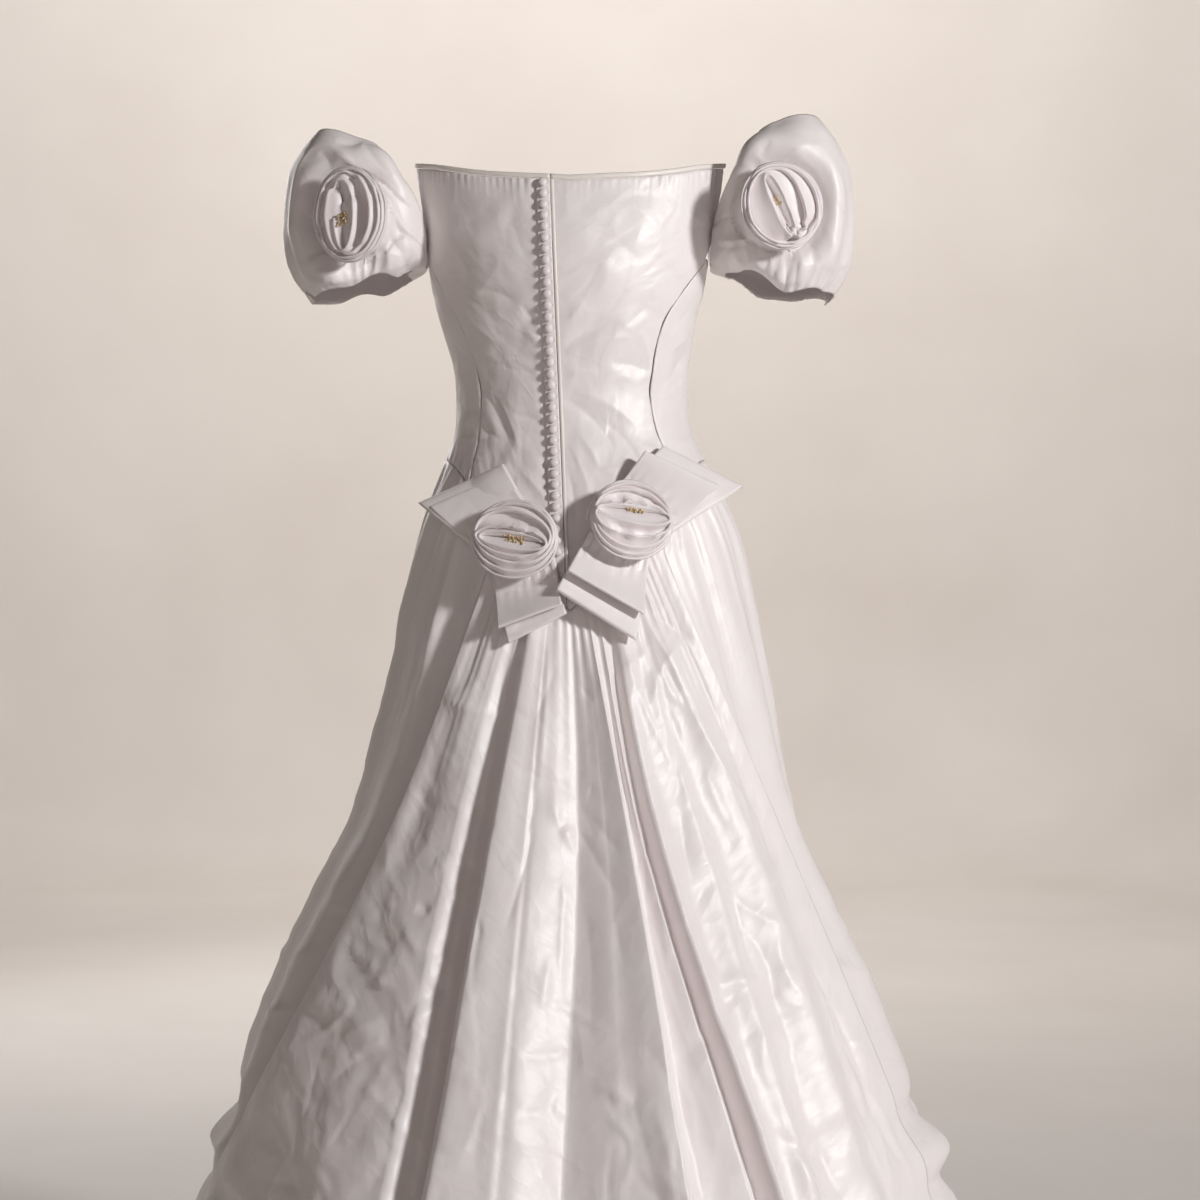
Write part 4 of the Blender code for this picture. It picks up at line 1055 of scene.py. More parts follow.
def fold_growth(angle, height):
    """How far the folds have opened at this distance below the waist seam."""
    return looked_up(waist(angle) - height, FOLD_GROWTH)


def tucked(line, side):
    """A side panel's back edge: beside the back panel's edge at the seam, then behind it."""

    def angle(height):
        edge = line(height)
        over = np.clip(fold_growth(edge, height) - TUCK_START, 0, 1) * TUCK_OVERLAP
        return edge + side * (2 * seam_angle(height) - over / form(height, "left"))

    return angle


def puffs(angle, height):
    """Bands that are pinched in and puffed out round both sides."""
    degrees = from_back(angle)
    rise = np.clip((degrees - PUFF_START[0]) / (PUFF_START[1] - PUFF_START[0]), 0, 1)
    fall = np.clip((PUFF_STOP[1] - degrees) / (PUFF_STOP[1] - PUFF_STOP[0]), 0, 1)
    away = np.abs(degrees - PUFF_EVEN_AT) - PUFF_EVEN_HALF
    hidden = np.clip(away / PUFF_UNEVEN_OVER, 0, 1)
    x, y = np.sin(angle), np.cos(angle)
    sway = PUFF_SWAY * hidden * noise(3.0 * x + 5, 3.0 * y + 5, 77)
    uneven = 1 - hidden * np.clip(0.5 + 0.8 * noise(5.0 * x + 9, 5.0 * y + 9, 78), 0, 1)
    bands = 0
    for middle, half, depth in SIDE_PUFFS:
        bands = bands + depth * np.exp(-(((height + sway - middle) / half) ** 2))
    return rise * fall * uneven * bands


def fold_columns(lines, wanted):
    """Place of each column, as a whole fold line and a share of the way to the next one."""
    height = np.array([-0.85])
    at = np.array([on_form(line(height), height)[0] for line in lines])
    widths = np.linalg.norm(np.diff(at, axis=0), axis=1)
    counts = np.maximum(5, np.round(widths / widths.sum() * wanted)).astype(int)
    counts[-1] += even_count(counts.sum() + 1, COARSE) - 1 - counts.sum()
    u = [i + np.arange(n) / n for i, n in enumerate(counts)]
    return np.concatenate([*u, [len(lines) - 1.0]])


def skirt_panel(lines, depths, turns, columns, rows, creases, across_of, seed):
    """A skirt panel whose columns follow its fold lines, gathered, creased and crumpled."""
    sizes = bpy.context.scene.gown_cloth
    u = fold_columns(lines, columns)
    first = np.minimum(u.astype(int), len(lines) - 2)
    share = u - first
    depths, turns = np.asarray(depths, float), np.asarray(turns, float)
    near, far = share ** turns[first], (1 - share) ** turns[first + 1]
    bend = near / (near + far)
    depth = depths[first] * (1 - bend) + depths[first + 1] * bend

    def angles(height):
        all_lines = np.array([line(height) for line in lines])
        pick = np.broadcast_to(first, height.shape)[None]
        low = np.take_along_axis(all_lines, pick, 0)[0]
        high = np.take_along_axis(all_lines, pick + 1, 0)[0]
        return low * (1 - share) + high * share

    top = waist(angles(np.full(len(u), -0.1)))
    for _ in range(MEETING_STEPS):
        top = waist(angles(top))
    top = top - 0.5 * WAIST_CLEAR
    way = np.linspace(0, 1, even_count(rows, COARSE))[:, None] ** ROW_CROWDING
    height = top + (HEM - top) * way
    angle = angles(height)
    growth = fold_growth(angle, height)
    plain = on_form(angle, height)
    seam_place = lengths_along(plain[:1], 1)
    down = top - height
    gather = gathers(seam_place, sizes.gather_spacing, seed)
    fade = np.exp(-down / GATHER_REACH) * (1 - np.exp(-down / 0.004))
    longer = gathers(seam_place, LONG_GATHER_SPACING * sizes.gather_spacing, seed + 5)
    long_fade = np.exp(-((down / LONG_GATHER_REACH) ** 2)) * (1 - np.exp(-down / 0.03))
    beside = across_of(plain)
    ripple = crumple(beside, 0.6 * height, CRUMPLE_WIDE, seed + 11)
    fine = crumple(beside, 0.8 * height, CRUMPLE_FINE, seed + 17)
    soft = noise(beside / CRUMPLE_SOFT[0], height / CRUMPLE_SOFT[1], seed + 23)
    strength = crumpled(plain[..., 0], plain[..., 1])
    settled = np.clip(down / 0.25, 0, 1)
    out = depth * growth + puffs(angle, height)
    across = lengths_along(plain, 1)
    # Folds alone reach the seams, so that neighbouring panels meet there
    calm = eased(np.clip(np.minimum(across, across[:, -1:] - across) / SEAM_CALM, 0, 1))
    out = out + calm * sizes.gather_depth * (0.6 * gather * fade + 0.9 * longer * long_fade)
    rumple = strength * (3.0 * ripple + 1.2 * fine) + 1.2 * soft
    out = out + calm * sizes.crease_depth * settled * rumple
    out = out + calm * 1.25 * press_creases(beside, height, creases)
    seam = np.exp(-down / 0.0016) * SEAM_ROLL
    return on_form(angle, height, out - seam)


def crumpled(x, y):
    """How strongly the skirt is crumpled: most beside the back, least below its centre."""
    return np.where(y > 0, looked_up(x * 1000, CRUMPLED), SIDE_CRUMPLED)


def sideways(plain):
    return plain[..., 0]


def from_behind(plain):
    """Sideways place measured round the side, so that creases don't stretch there."""
    return plain[..., 0] - 0.55 * np.minimum(plain[..., 1], 0) * np.sign(plain[..., 0])


def sew_skirt():
    coat = coat_of("blush")
    last = len(BACK_FOLDS) - 1
    depths = BACK_FOLDS[:, BACK_DEPTH_COLUMN] / 1000
    turns = BACK_FOLDS[:, BACK_TURN_COLUMN]
    lines = [inset(back_line(last), 1)]
    lines += [back_line(row) for row in range(last - 1, 0, -1)]
    lines.append(inset(back_line(0), -1))
    small = strewn_creases(215, ((-420, 420), (-1060, -235)), (16, 110), (65, 38), 5)
    small += strewn_creases(60, ((-330, -50), (-1000, -240)), (40, 190), (73, 5), 15, 0.005, 0.009)
    small += strewn_creases(30, ((20, 330), (-1000, -240)), (40, 160), (107, 6), 16, 0.005, 0.009)
    grid = skirt_panel(
        lines, depths[::-1], turns[::-1], 288, 286, (*BACK_CREASES, *small), sideways, 3
    )
    yield cloth_shell("skirt_back_taffeta", grid, coat), "skirt_back"

    for name, (side, folds, creases, edge_row, lean, strewn_seed, seed) in SIDE_PANELS.items():
        lines = [tucked(back_line(edge_row), side)]
        lines += [side_line(folds, row, side) for row in range(len(folds))]
        lines[-1] = inset(lines[-1], -side)
        behind = [depths[edge_row] - TUCK_DEPTH, *folds[:, 3] / 1000]
        box = sorted((150 * side, 620 * side)), (-1060, -260)
        small = strewn_creases(70, box, (14, 80), (lean, 40), strewn_seed)
        grid = skirt_panel(
            lines[::side], behind[::side], [SIDE_TURN] * len(lines), 130, 229,
            (*creases, *small), from_behind, seed,
        )
        yield cloth_shell(f"skirt_side_{name}_taffeta", grid, coat), f"skirt_side_{name}"

    start = LEFT_FOLDS[-1, :3]
    wave = np.arange(FRONT_FOLDS)
    share = (wave + 0.3 * np.sin(4 * math.pi * wave / (FRONT_FOLDS - 1))) / (FRONT_FOLDS - 1)
    lines = []
    for part in share:
        degrees = start + (360 - 2 * start) * part
        lines.append(
            lambda height, degrees=degrees: np.radians(curve(height, SIDE_STATIONS, degrees))
        )
    lines[0], lines[-1] = inset(lines[0], 1), inset(lines[-1], -1)
    depths = FRONT_DEPTH * np.cos(math.pi * wave) * -(0.75 + 0.35 * np.sin(1.7 * wave))
    depths[[0, -1]] = LEFT_FOLDS[-1, 3] / 1000
    small = strewn_creases(80, ((-420, 420), (-1060, -260)), (14, 80), (90, 40), 12)
    grid = skirt_panel(lines, depths, [FRONT_TURN] * FRONT_FOLDS, 170, 199, small, sideways, 59)
    yield cloth_shell("skirt_front_taffeta", grid, coat), "skirt_front"


# ---- Bodice ----


def below_binding(edge):
    return lambda angle: edge(angle) - BINDING_HEIGHT - SEAM


def above_waist(angle):
    return waist(angle) + 0.5 * WAIST_CLEAR


def panel_places(start, stop, top, low, columns, rows, knee=None, upper_rows=0):
    """Angle and height of a panel's points between two seam lines and two edges."""
    u = np.linspace(0, 1, columns)
    high = meeting_height(top, start, stop, u)
    bottom = meeting_height(low, start, stop, u)
    parts = []
    if knee is not None:
        share = np.linspace(0, 1, upper_rows, endpoint=False)[:, None]
        parts.append(high + (knee - high) * share)
        high = knee + 0 * u
    parts.append(high + (bottom - high) * np.linspace(0, 1, rows)[:, None])
    height = np.concatenate(parts)
    return start(height) * (1 - u) + stop(height) * u, height


def bodice_relief(angle, height, neck_gathers, seed):
    """How far the fitted cloth lies off the form: drag lines, puckers and rolled edges."""
    sizes = bpy.context.scene.gown_cloth
    plain = on_form(angle, height)
    across, down = lengths_along(plain, 1), lengths_along(plain, 0)
    to_side = np.minimum(across, across[:, -1:] - across)
    to_end = np.minimum(down, down[-1:] - down)
    behind = plain[..., 1] > 0
    creases = BODICE_CREASE_SHARE * press_creases(plain[..., 0], height, BODICE_CREASES)
    out = np.where(behind, creases, 0)
    out = out + BODICE_DRAG * noise(across / 0.035, height / 0.035, seed)
    pressed = BODICE_CRUMPLE * crumple(across, height, BODICE_CRUMPLE_SIZE, seed + 3)
    out = out + pressed * np.clip(to_end / 0.02, 0, 1)
    pucker = gathers(height, 0.0085, seed + 5) * np.exp(-to_side / 0.006)
    out = out + SEAM_PUCKER * pucker * (1 - np.exp(-to_side / 0.001))
    if neck_gathers:
        drawn = gathers(across, 0.0075, seed + 7)
        out = out + NECK_GATHER * drawn * np.exp(-down / 0.0075) * (1 - np.exp(-down / 0.0006))
    near_waist = down[-1:] - down
    drawn = gathers(across, 0.012, seed + 9)
    at_waist = np.exp(-near_waist / 0.010) * (1 - np.exp(-near_waist / 0.0008))
    out = out + WAIST_GATHER * drawn * at_waist
    line = on_form(closing(height), height)[..., 0]
    by_closing = behind * np.clip(1.6 - np.abs(plain[..., 0] - line) / 0.010, 0, 1)
    out = out * (1 - by_closing) + np.minimum(out, 0) * by_closing
    roll = 0.0009 * np.exp(-to_side / 0.0013) + 0.0007 * np.exp(-to_end / 0.0012)
    return sizes.crease_depth / USUAL_CREASE_DEPTH * out - roll


def bodice_piece(name, start, stop, top, columns, rows, knee=None, upper_rows=0, seed=0):
    columns = even_count(columns, COARSE)
    if knee is None:
        rows = even_count(rows, COARSE)
    else:
        rows = even_count(rows + upper_rows, COARSE) - upper_rows
    start, stop = inset(start, 1), inset(stop, -1)
    angle, height = panel_places(start, stop, top, above_waist, columns, rows, knee, upper_rows)
    under_arm_only = top is front_neck
    grid = on_form(angle, height, bodice_relief(angle, height, not under_arm_only, seed))
    return cloth_shell(name + "_taffeta", grid, coat_of("blush"), BODICE_WALL, COARSE, BODICE_EDGE)


def sew_bodice():
    left_seam = lambda height: princess(height, 1)
    right_seam = lambda height: princess(height, -1)
    neck, front = below_binding(back_neck), below_binding(front_neck)
    panels = {
        # name: start, stop, upper edge, columns, rows, height of the knee, rows above it
        "bodice_back_left": (closing, left_seam, neck, 85, 150, UNDERARM, 49),
        "bodice_back_right": (right_seam, closing, neck, 91, 150, UNDERARM, 49),
        "bodice_side_back_left": (left_seam, level(SIDE_SEAM), front_neck, 64, 109),
        "bodice_side_front_left": (level(SIDE_SEAM), level(FRONT_SEAM), front, 40, 91),
        "bodice_front": (level(FRONT_SEAM), level(360 - FRONT_SEAM), front, 76, 112),
        "bodice_side_front_right": (level(-FRONT_SEAM), level(-SIDE_SEAM), front, 40, 91),
        "bodice_side_back_right": (level(-SIDE_SEAM), right_seam, front_neck, 64, 109),
    }
    for seed, (name, places) in enumerate(panels.items(), 61):
        yield bodice_piece(name, *places, seed=seed), name


def sew_bindings():
    strips = {
        "neck_binding_back_left": (closing, level(PRINCESS_SEAM[-1, 1]), back_neck, 90),
        "neck_binding_back_right": (level(-PRINCESS_SEAM[-1, 2]), closing, back_neck, 90),
        "neck_binding_front": (level(SIDE_SEAM), level(360 - SIDE_SEAM), front_neck, 180),
    }
    for seed, (name, (start, stop, edge, columns)) in enumerate(strips.items(), 81):
        low = lambda angle, edge=edge: edge(angle) - BINDING_HEIGHT
        start, stop = inset(start, 1), inset(stop, -1)
        angle, height = panel_places(start, stop, edge, low, even_count(columns, COARSE), 13)
        across = lengths_along(on_form(angle, height), 1)
        share = np.linspace(-1, 1, 13)[:, None]
        crown = 0.0011 * np.sqrt(np.clip(1 - share**2, 0, 1)) - 0.0003
        drag = 0.00022 * noise(across / 0.006, 3 * share, seed) * (1 - share**2)
        grid = on_form(angle, height, crown + drag)
        coat = coat_of("ivory")
        yield cloth_shell(name + "_taffeta", grid, coat, BINDING_WALL, COARSE, BINDING_EDGE), name


# ---- Closing ----


def closing_strip(name, near, far, wall, columns, crown, coat):
    """A strip that lies along the closing, rounded across by the height of its crown."""
    top = meeting_height(below_binding(back_neck), closing, closing, np.zeros(1))[0]
    height = np.linspace(top - 0.0004, STRIP_LOW, 361)[:, None]
    share = np.linspace(0, 1, columns)
    angle = closing(height, near + (far - near) * share)
    bow = crown * (np.sqrt(np.clip(1 - (2 * share - 1) ** 2, 0, 1)) - 1)
    pulled = 0.00025 * noise(height / 0.010, 0 * height + 0.5, 7) * np.ones(columns)
    grid = on_form(angle, height, STRIP_CLEAR + wall + bow + pulled)
    return cloth_shell(name, grid, coat, 0.8 * wall, COARSE, STRIP_EDGE), grid


def strip_frame(grid, height):
    """Point on a strip's middle at this height, and the directions across, down and out."""
    middle = grid[:, grid.shape[1] // 2]
    row = int(np.sum(middle[:, 2] > height)) - 1
    share = (middle[row, 2] - height) / (middle[row, 2] - middle[row + 1, 2])
    point = middle[row] * (1 - share) + middle[row + 1] * share
    across = grid[row, -1] - grid[row, 0]
    across /= np.linalg.norm(across)
    out = np.cross(across, middle[row + 1] - middle[row])
    out /= np.linalg.norm(out)
    return point, across, np.cross(out, across), out


def button_mesh(middle, across, down, out, turn_start):
    """A covered button: a dome with the cloth pleated in round its rim."""
    turn = turn_start + np.arange(BUTTON_SIDES) * 2 * math.pi / BUTTON_SIDES
    points = []
    for radius, rise, pleat in BUTTON_RINGS:
        wave = 1 + 0.035 * pleat * np.cos(10 * turn)
        level_part = np.outer(np.cos(turn) * wave, across) + np.outer(np.sin(turn) * wave, down)
        points.append(middle + BUTTON_RADIUS * radius * level_part + BUTTON_DOME * rise * out)
    rings = len(BUTTON_RINGS)
    points = np.concatenate([*points, [middle + BUTTON_DOME * out]])
    n = BUTTON_SIDES
    faces = ring_faces(rings, n)
    last = (rings - 1) * n
    faces += [[last + i, last + (i + 1) % n, rings * n] for i in range(n)]
    faces.append(list(range(n))[::-1])
    return points, faces


def cord_mesh(path, radius, sides=6):
    """A round cord along a path of points, closed at both ends."""
    path = np.asarray(path)
    along = np.gradient(path, axis=0)
    along /= np.linalg.norm(along, axis=1, keepdims=True)
    side = np.cross(along, np.broadcast_to([0.3, 1.0, 0.2], along.shape))
    side /= np.linalg.norm(side, axis=1, keepdims=True)
    other = np.cross(along, side)
    turn = np.arange(sides) * 2 * math.pi / sides
    ring = np.cos(turn)[:, None, None] * side + np.sin(turn)[:, None, None] * other
    points = (path + radius * ring).transpose(1, 0, 2).reshape(-1, 3)
    faces = ring_faces(len(path), sides)
    faces += [list(range(sides))[::-1], [len(points) - sides + i for i in range(sides)]]
    return points, faces


def merged(name, parts, coat):
    """One object of many small meshes, given as points and faces."""
    points, faces, count = [], [], 0
    for some, their in parts:
        points.append(some)
        faces += [[i + count for i in face] for face in their]
        count += len(some)
    points = np.concatenate(points)
    return add_mesh(name, points, faces, [coat], points[:, [0, 2]])


def sew_closing():
    blush = coat_of("blush")
    reach = -PIPING_WIDTH - PIPING_APART
    piping, _ = closing_strip(
        "loop_piping_taffeta", reach, -PIPING_APART, PIPING_WALL, 13, 0.0014, coat_of("ivory")
    )
    yield piping, "blush_taffeta", ("loop_piping",)
    placket, grid = closing_strip(
        "button_placket_taffeta", PIPING_APART, PLACKET_WIDTH, BAND_WALL, 13, 0.0003, blush
    )
    yield placket, "blush_taffeta", ("button_placket",)
    buttons, loops = [], []
    for number, height in enumerate(np.linspace(BUTTON_TOP, BUTTON_LOW, BUTTONS)):
        middle, across, down, out = strip_frame(grid, height)
        middle = middle + BUTTON_CLEAR * out
        buttons.append(button_mesh(middle, across, down, out, 0.7 * number))
        turn = np.linspace(-math.pi, math.pi, 17)[:, None]
        reach = np.where(np.cos(turn) > 0, BUTTON_RADIUS + LOOP_RADIUS, 0.0068)
        rise = 0.0006 + 0.0009 * np.clip(-np.cos(turn), 0, 1)
        squash = 0.30 + 0.70 * np.clip(0.7 + np.cos(turn), 0, 1)
        path = middle + reach * np.cos(turn) * across + rise * out
        path = path + (BUTTON_RADIUS + LOOP_RADIUS) * np.sin(turn) * squash * down
        loops.append(cord_mesh(path[1:-1], LOOP_RADIUS))
    nodes = [f"button_{number:02d}" for number in range(1, BUTTONS + 1)]
    yield merged("buttons_covered", buttons, coat_of("rose")), "covered_button", nodes
    yield merged("button_loops", loops, coat_of("loops")), "blush_taffeta", ()


# ---- Roses ----


def rose_frame(name):
    """Base, and the level, upward and outward directions of a rose's face."""
    base, azimuth, tilt = ROSES[name][:3]
    azimuth, tilt = math.radians(azimuth), math.radians(tilt)
    out = np.array(
        [math.sin(azimuth) * math.cos(tilt), math.cos(azimuth) * math.cos(tilt), math.sin(tilt)]
    )
    across = np.array([math.cos(azimuth), -math.sin(azimuth), 0.0])
    return np.array(base), across, np.cross(across, out), out


def on_rose(name, along, aside, lift):
    """Points given along a rose's slit, across it and out from its base."""
    base, across, up, out = rose_frame(name)
    slit = math.radians(ROSES[name][7])
    right = along * math.cos(slit) - aside * math.sin(slit)
    above = along * math.sin(slit) + aside * math.cos(slit)
    outer = np.multiply.outer
    return base + outer(right, across) + outer(above, up) + outer(lift, out)


def wrap_sizes(name, turns):
    """Half length, half across, both shifts and the rim's height, by turn, in metres."""
    rows = np.array(WRAPS[name])
    return [np.interp(turns, rows[:, 0], rows[:, column]) / 1000 for column in range(1, 6)]


def dented(rows, turns, degrees):
    """How deep the cloth is sunk at this turn and angle, with a small swell on each side."""
    deep = 0
    for turn, at, half, depth in rows:
        aside = ((degrees - at + 180) % 360 - 180) / half
        near = np.exp(-3 * ((turns - math.floor(turn) - at / 360) / 0.45) ** 2)
        hat = np.exp(-(aside**2)) - 0.35 * np.exp(-((np.abs(aside) - 2.1) ** 2))
        deep = deep + 0.001 * depth * near * hat
    return deep


def rose_grid(name, seed):
    """Profile of the rolled fold, from its inner foot over the rim, at each place along it."""
    last = WRAPS[name][-1][0]
    turns = np.linspace(last, 0, even_count(ROSE_COLUMNS, COARSE))
    angle = 2 * math.pi * turns
    start = eased(np.clip(turns / 0.14, 0, 1))

    def rim(at):
        length, width, shift_along, shift_across, height = wrap_sizes(name, at)
        turned = 2 * math.pi * at
        wave = 0.0006 * noise(at * 6.3, 0 * at, seed) + 0.0004 * noise(at * 15, 0 * at + 3, seed)
        deep = dented(PUCKERS[name], at, np.degrees(turned) % 360)
        lift = height + 0.0011 * noise(at * 5.1, 0 * at + 7, seed + 2) - deep
        size = 1 + (wave - 0.45 * deep) / np.maximum(width, 0.012)
        along = shift_along + length * np.cos(turned) * size
        aside = shift_across + width * np.sin(turned) * size
        return along, aside, lift

    along, aside, height = rim(turns)
    outer_along, outer_aside, outer_height = rim(np.maximum(turns - 1, 0))
    own = np.clip((turns - 1.0) / 0.10, 0, 1)
    fall = outer_height - ROSE_FALL
    reach = ROSE_FOOT + (ROSE_TOUCH - ROSE_FOOT) * own
    end_along = reach * np.where(own > 0, outer_along, along)
    end_aside = reach * np.where(own > 0, outer_aside, aside)
    end_height = SEAM + (fall - SEAM) * own
    height = SEAM + (height - SEAM) * (0.35 + 0.65 * start)
    inward = np.clip((turns - last + 1.25) / 0.2, 0, 1)
    pocket = dented(POCKETS[name], turns, np.degrees(angle) % 360)
    centre = wrap_sizes(name, last)[3]
    length = np.hypot(along, aside)
    points = []
    for share in np.linspace(1, 0, 8)[:-1]:
        drop = ROSE_RIM + share * (0.0050 - 0.0012 * inward)
        spread = 1 - (ROSE_RIM * 1.6 + 0.0008 * share) / length
        beside = aside * spread + (centre - aside * spread) * inward * share**1.6
        points.append((along * spread, beside, height - drop))
    for bend in np.linspace(0, math.pi, 6):
        spread = 1 - ROSE_RIM * (0.8 + 0.8 * math.cos(bend)) / length
        rise = ROSE_RIM * (math.sin(bend) - 1)
        points.append((along * spread, aside * spread, height + rise))
    for share in np.linspace(0, 1, 16)[1:]:
        swell = math.sin(math.pi * share)
        over = along + (end_along - along) * share
        beside = aside + (end_aside - aside) * share
        round_out = 1 + 0.05 * swell * (1 - own)
        soft = share**0.55 * own + share**1.15 * (1 - own)
        lift = (height - ROSE_RIM) + (end_height - height + ROSE_RIM) * soft
        lift = lift + 0.0008 * swell * noise(turns * 7, 0 * turns + 2 * share, seed + 5)
        lift = lift - own * pocket * math.sin(math.pi * share**0.7)
        points.append((over * round_out, beside * round_out, lift))
    return np.array([on_rose(name, *row) for row in points])


def bead_string(name, seed):
    """Small beads that fill the slit of a rose."""
    draw = np.random.default_rng(seed)
    first, last, count = BEADS[name]
    length, width, shift_along, shift_across, height = wrap_sizes(name, WRAPS[name][-1][0])
    parts = []
    for number in range(count):
        along = shift_along + length * (first + (last - first) * (number + 0.5) / count)
        row = number % 3 - 1
        along += draw.normal(0, 0.0006)
        aside = shift_across + width * 0.40 * row + draw.normal(0, 0.0006)
        lift = height - 0.0022 + 0.0008 * abs(row) + draw.normal(0, 0.0005)
        middle = on_rose(name, along, aside, lift)
        parts.append(ball_mesh(middle, BEAD_RADIUS * draw.uniform(0.85, 1.1)))
    return parts


def ball_mesh(middle, radius, sides=10, rings=6):
    """A small round bead, as points and faces."""
    points, faces = [middle + [0, 0, radius]], []
    for ring in range(1, rings):
        tilt = math.pi * ring / rings
        for i in range(sides):
            turn = 2 * math.pi * i / sides
            level_part = [math.sin(tilt) * math.cos(turn), math.sin(tilt) * math.sin(turn)]
            points.append(middle + radius * np.array([*level_part, math.cos(tilt)]))
    points.append(middle - [0, 0, radius])
    for i in range(sides):
        j = (i + 1) % sides
        faces.append([0, 1 + i, 1 + j])
        for ring in range(rings - 2):
            low, high = 1 + ring * sides, 1 + (ring + 1) * sides
            faces.append([low + i, high + i, high + j, low + j])
        last = 1 + (rings - 2) * sides
        faces.append([last + i, len(points) - 1, last + j])
    return np.array(points), faces


def sew_roses():
    coat = coat_of("rose")
    for seed, name in enumerate(ROSES, ROSE_SEED):
        grid = rose_grid(name, seed)
        yield cloth_shell(name + "_taffeta", grid, coat, ROSE_WALL, COARSE, ROSE_EDGE), name


def string_beads():
    beads = []
    for seed, name in enumerate(ROSES, ROSE_SEED):
        beads += bead_string(name, seed)
    return merged("rose_beads", beads, coat_of("bead"))


# ---- Bows ----


def to_plane(point, frame_of_rose):
    """Sideways place and height turned into the two sizes in a rose's base plane."""
    base, across, up, out = frame_of_rose
    x, z = point
    y = base[1] - (out[0] * (x - base[0]) + out[2] * (z - base[2])) / out[1]
    offset = np.array([x, y, z]) - base
    return np.array([offset @ across, offset @ up])


def body_clearance(points):
    """How far back these points must move to lie clear of the bodice and the skirt's folds."""
    x, y, height = np.moveaxis(points, -1, 0)
    width = width_beside(x, height)
    surface = form(height, "back") * np.sqrt(np.clip(1 - (x / width) ** 2, 0, 1))
    deepest = np.max(BACK_FOLDS[:, BACK_DEPTH_COLUMN]) / 1000
    folds = deepest * fold_growth(place_angle(x, height), height)
    need = surface + folds + BOW_CLEAR + BOW_WALL - y
    return np.where(np.abs(x) < width, np.maximum(need, 0), 0)


def bow_loop(name, rose_name, first, second, stand, opening, forward, seed):
    """A flat band doubled at its tip, with its two ends gathered under the rose."""
    place_of = rose_frame(rose_name)
    base, across, up, out = place_of
    first, second = to_plane(first, place_of), to_plane(second, place_of)
    direction = 0.5 * (first + second)
    direction /= np.linalg.norm(direction)
    aside = np.array([-direction[1], direction[0]])
    if (first - second) @ aside < 0:
        first, second = second, first
    roots = [direction * BOW_ROOT + aside * BOW_ROOT_HALF_WIDTH * sign for sign in (1, -1)]
    steps = np.arange(len(BOW_PATH))
    at = np.linspace(0, len(BOW_PATH) - 1, even_count(BOW_ROWS, COARSE))
    path = np.array(BOW_PATH)
    way = np.clip(curve(at, steps, path[:, 0]), 0, 1)[:, None]
    rise = curve(at, steps, path[:, 1])[:, None]
    side = np.clip(0.5 * (len(BOW_PATH) - 1) - at, -1, 1)[:, None]
    share = np.linspace(0, 1, even_count(BOW_COLUMNS, COARSE))
    layer = 0.5 * BOW_LAYERS * side - 0.5 * BOW_LAYERS - 0.5 * BOW_WALL - SEAM
    past_flat = np.clip(way - BOW_FLAT, 0, 1) / (1 - BOW_FLAT)
    lift = layer + rise * opening + (stand + forward) * past_flat**1.5
    pleat = gathers(share * 0.07, 0.011, seed) * np.exp(-past_flat * 4.5) * 0.0012
    soft = 0.0012 * noise(1.6 * way + 0.3 * side, 1.3 * share, seed + 2) * past_flat
    lift = lift + pleat + soft + 0.0002 * noise(7 * way + side, 6 * share, seed + 4)
    tip = [end + 0 * share[:, None] for end in (first, second)]
    tip = tip[0] * (1 - share[:, None]) + tip[1] * share[:, None]
    root = roots[0] * (1 - share[:, None]) + roots[1] * share[:, None]
    place = root * (1 - way[..., None]) + tip * way[..., None]
    sheet = base + place[..., :1] * across + place[..., 1:] * up + lift[..., None] * out
    push = body_clearance(sheet)
    sheet[..., 1] += np.maximum(push, push[::-1])
    if np.mean(normals(sheet)[0] @ out) < 0:
        sheet = sheet[:, ::-1]
    sheet = sheet + 0.5 * BOW_WALL * normals(sheet)
    return cloth_shell(name, sheet, coat_of("bow"), BOW_WALL, COARSE, BOW_EDGE)


def joined(name, pieces):
    """The pieces as one object."""
    made = bmesh.new()
    for piece in pieces:
        made.from_mesh(piece.data)
    first = pieces[0]
    made.to_mesh(first.data)
    made.free()
    for piece in pieces[1:]:
        bpy.data.objects.remove(piece, do_unlink=True)
    first.name = first.data.name = name
    return first


def sew_bows():
    for seed, (name, loops) in enumerate(BOW_LOOPS.items(), 131):
        pieces = [
            bow_loop(f"{name}_loop_{number}", *loop, seed + 10 * number)
            for number, loop in enumerate(loops)
        ]
        yield joined(name + "_taffeta", pieces), name


# ---- Sleeves ----


def outside_form(grid):
    """Points moved off the bodice, so that the sleeve only rests against it."""
    height = grid[..., 2]
    near_binding = np.clip((height - 0.215) / 0.015, 0, 1)
    clear = SLEEVE_CLEAR + (SLEEVE_BINDING_CLEAR - SLEEVE_CLEAR) * near_binding
    angle = np.arctan2(grid[..., 0], grid[..., 1])
    clear = np.where(from_back(angle) > 91, np.maximum(clear, SLEEVE_FRONT_CLEAR), clear)
    width = half_width(angle, height) + clear + 0.0022
    depth = half_depth(angle, height) + clear + 0.0022
    inside = np.hypot(grid[..., 0] / width, grid[..., 1] / depth)
    push = np.where(inside < 1, 1 / np.maximum(inside, 1e-6), 1)
    moved = grid.copy()
    moved[..., :2] *= push[..., None]
    return moved


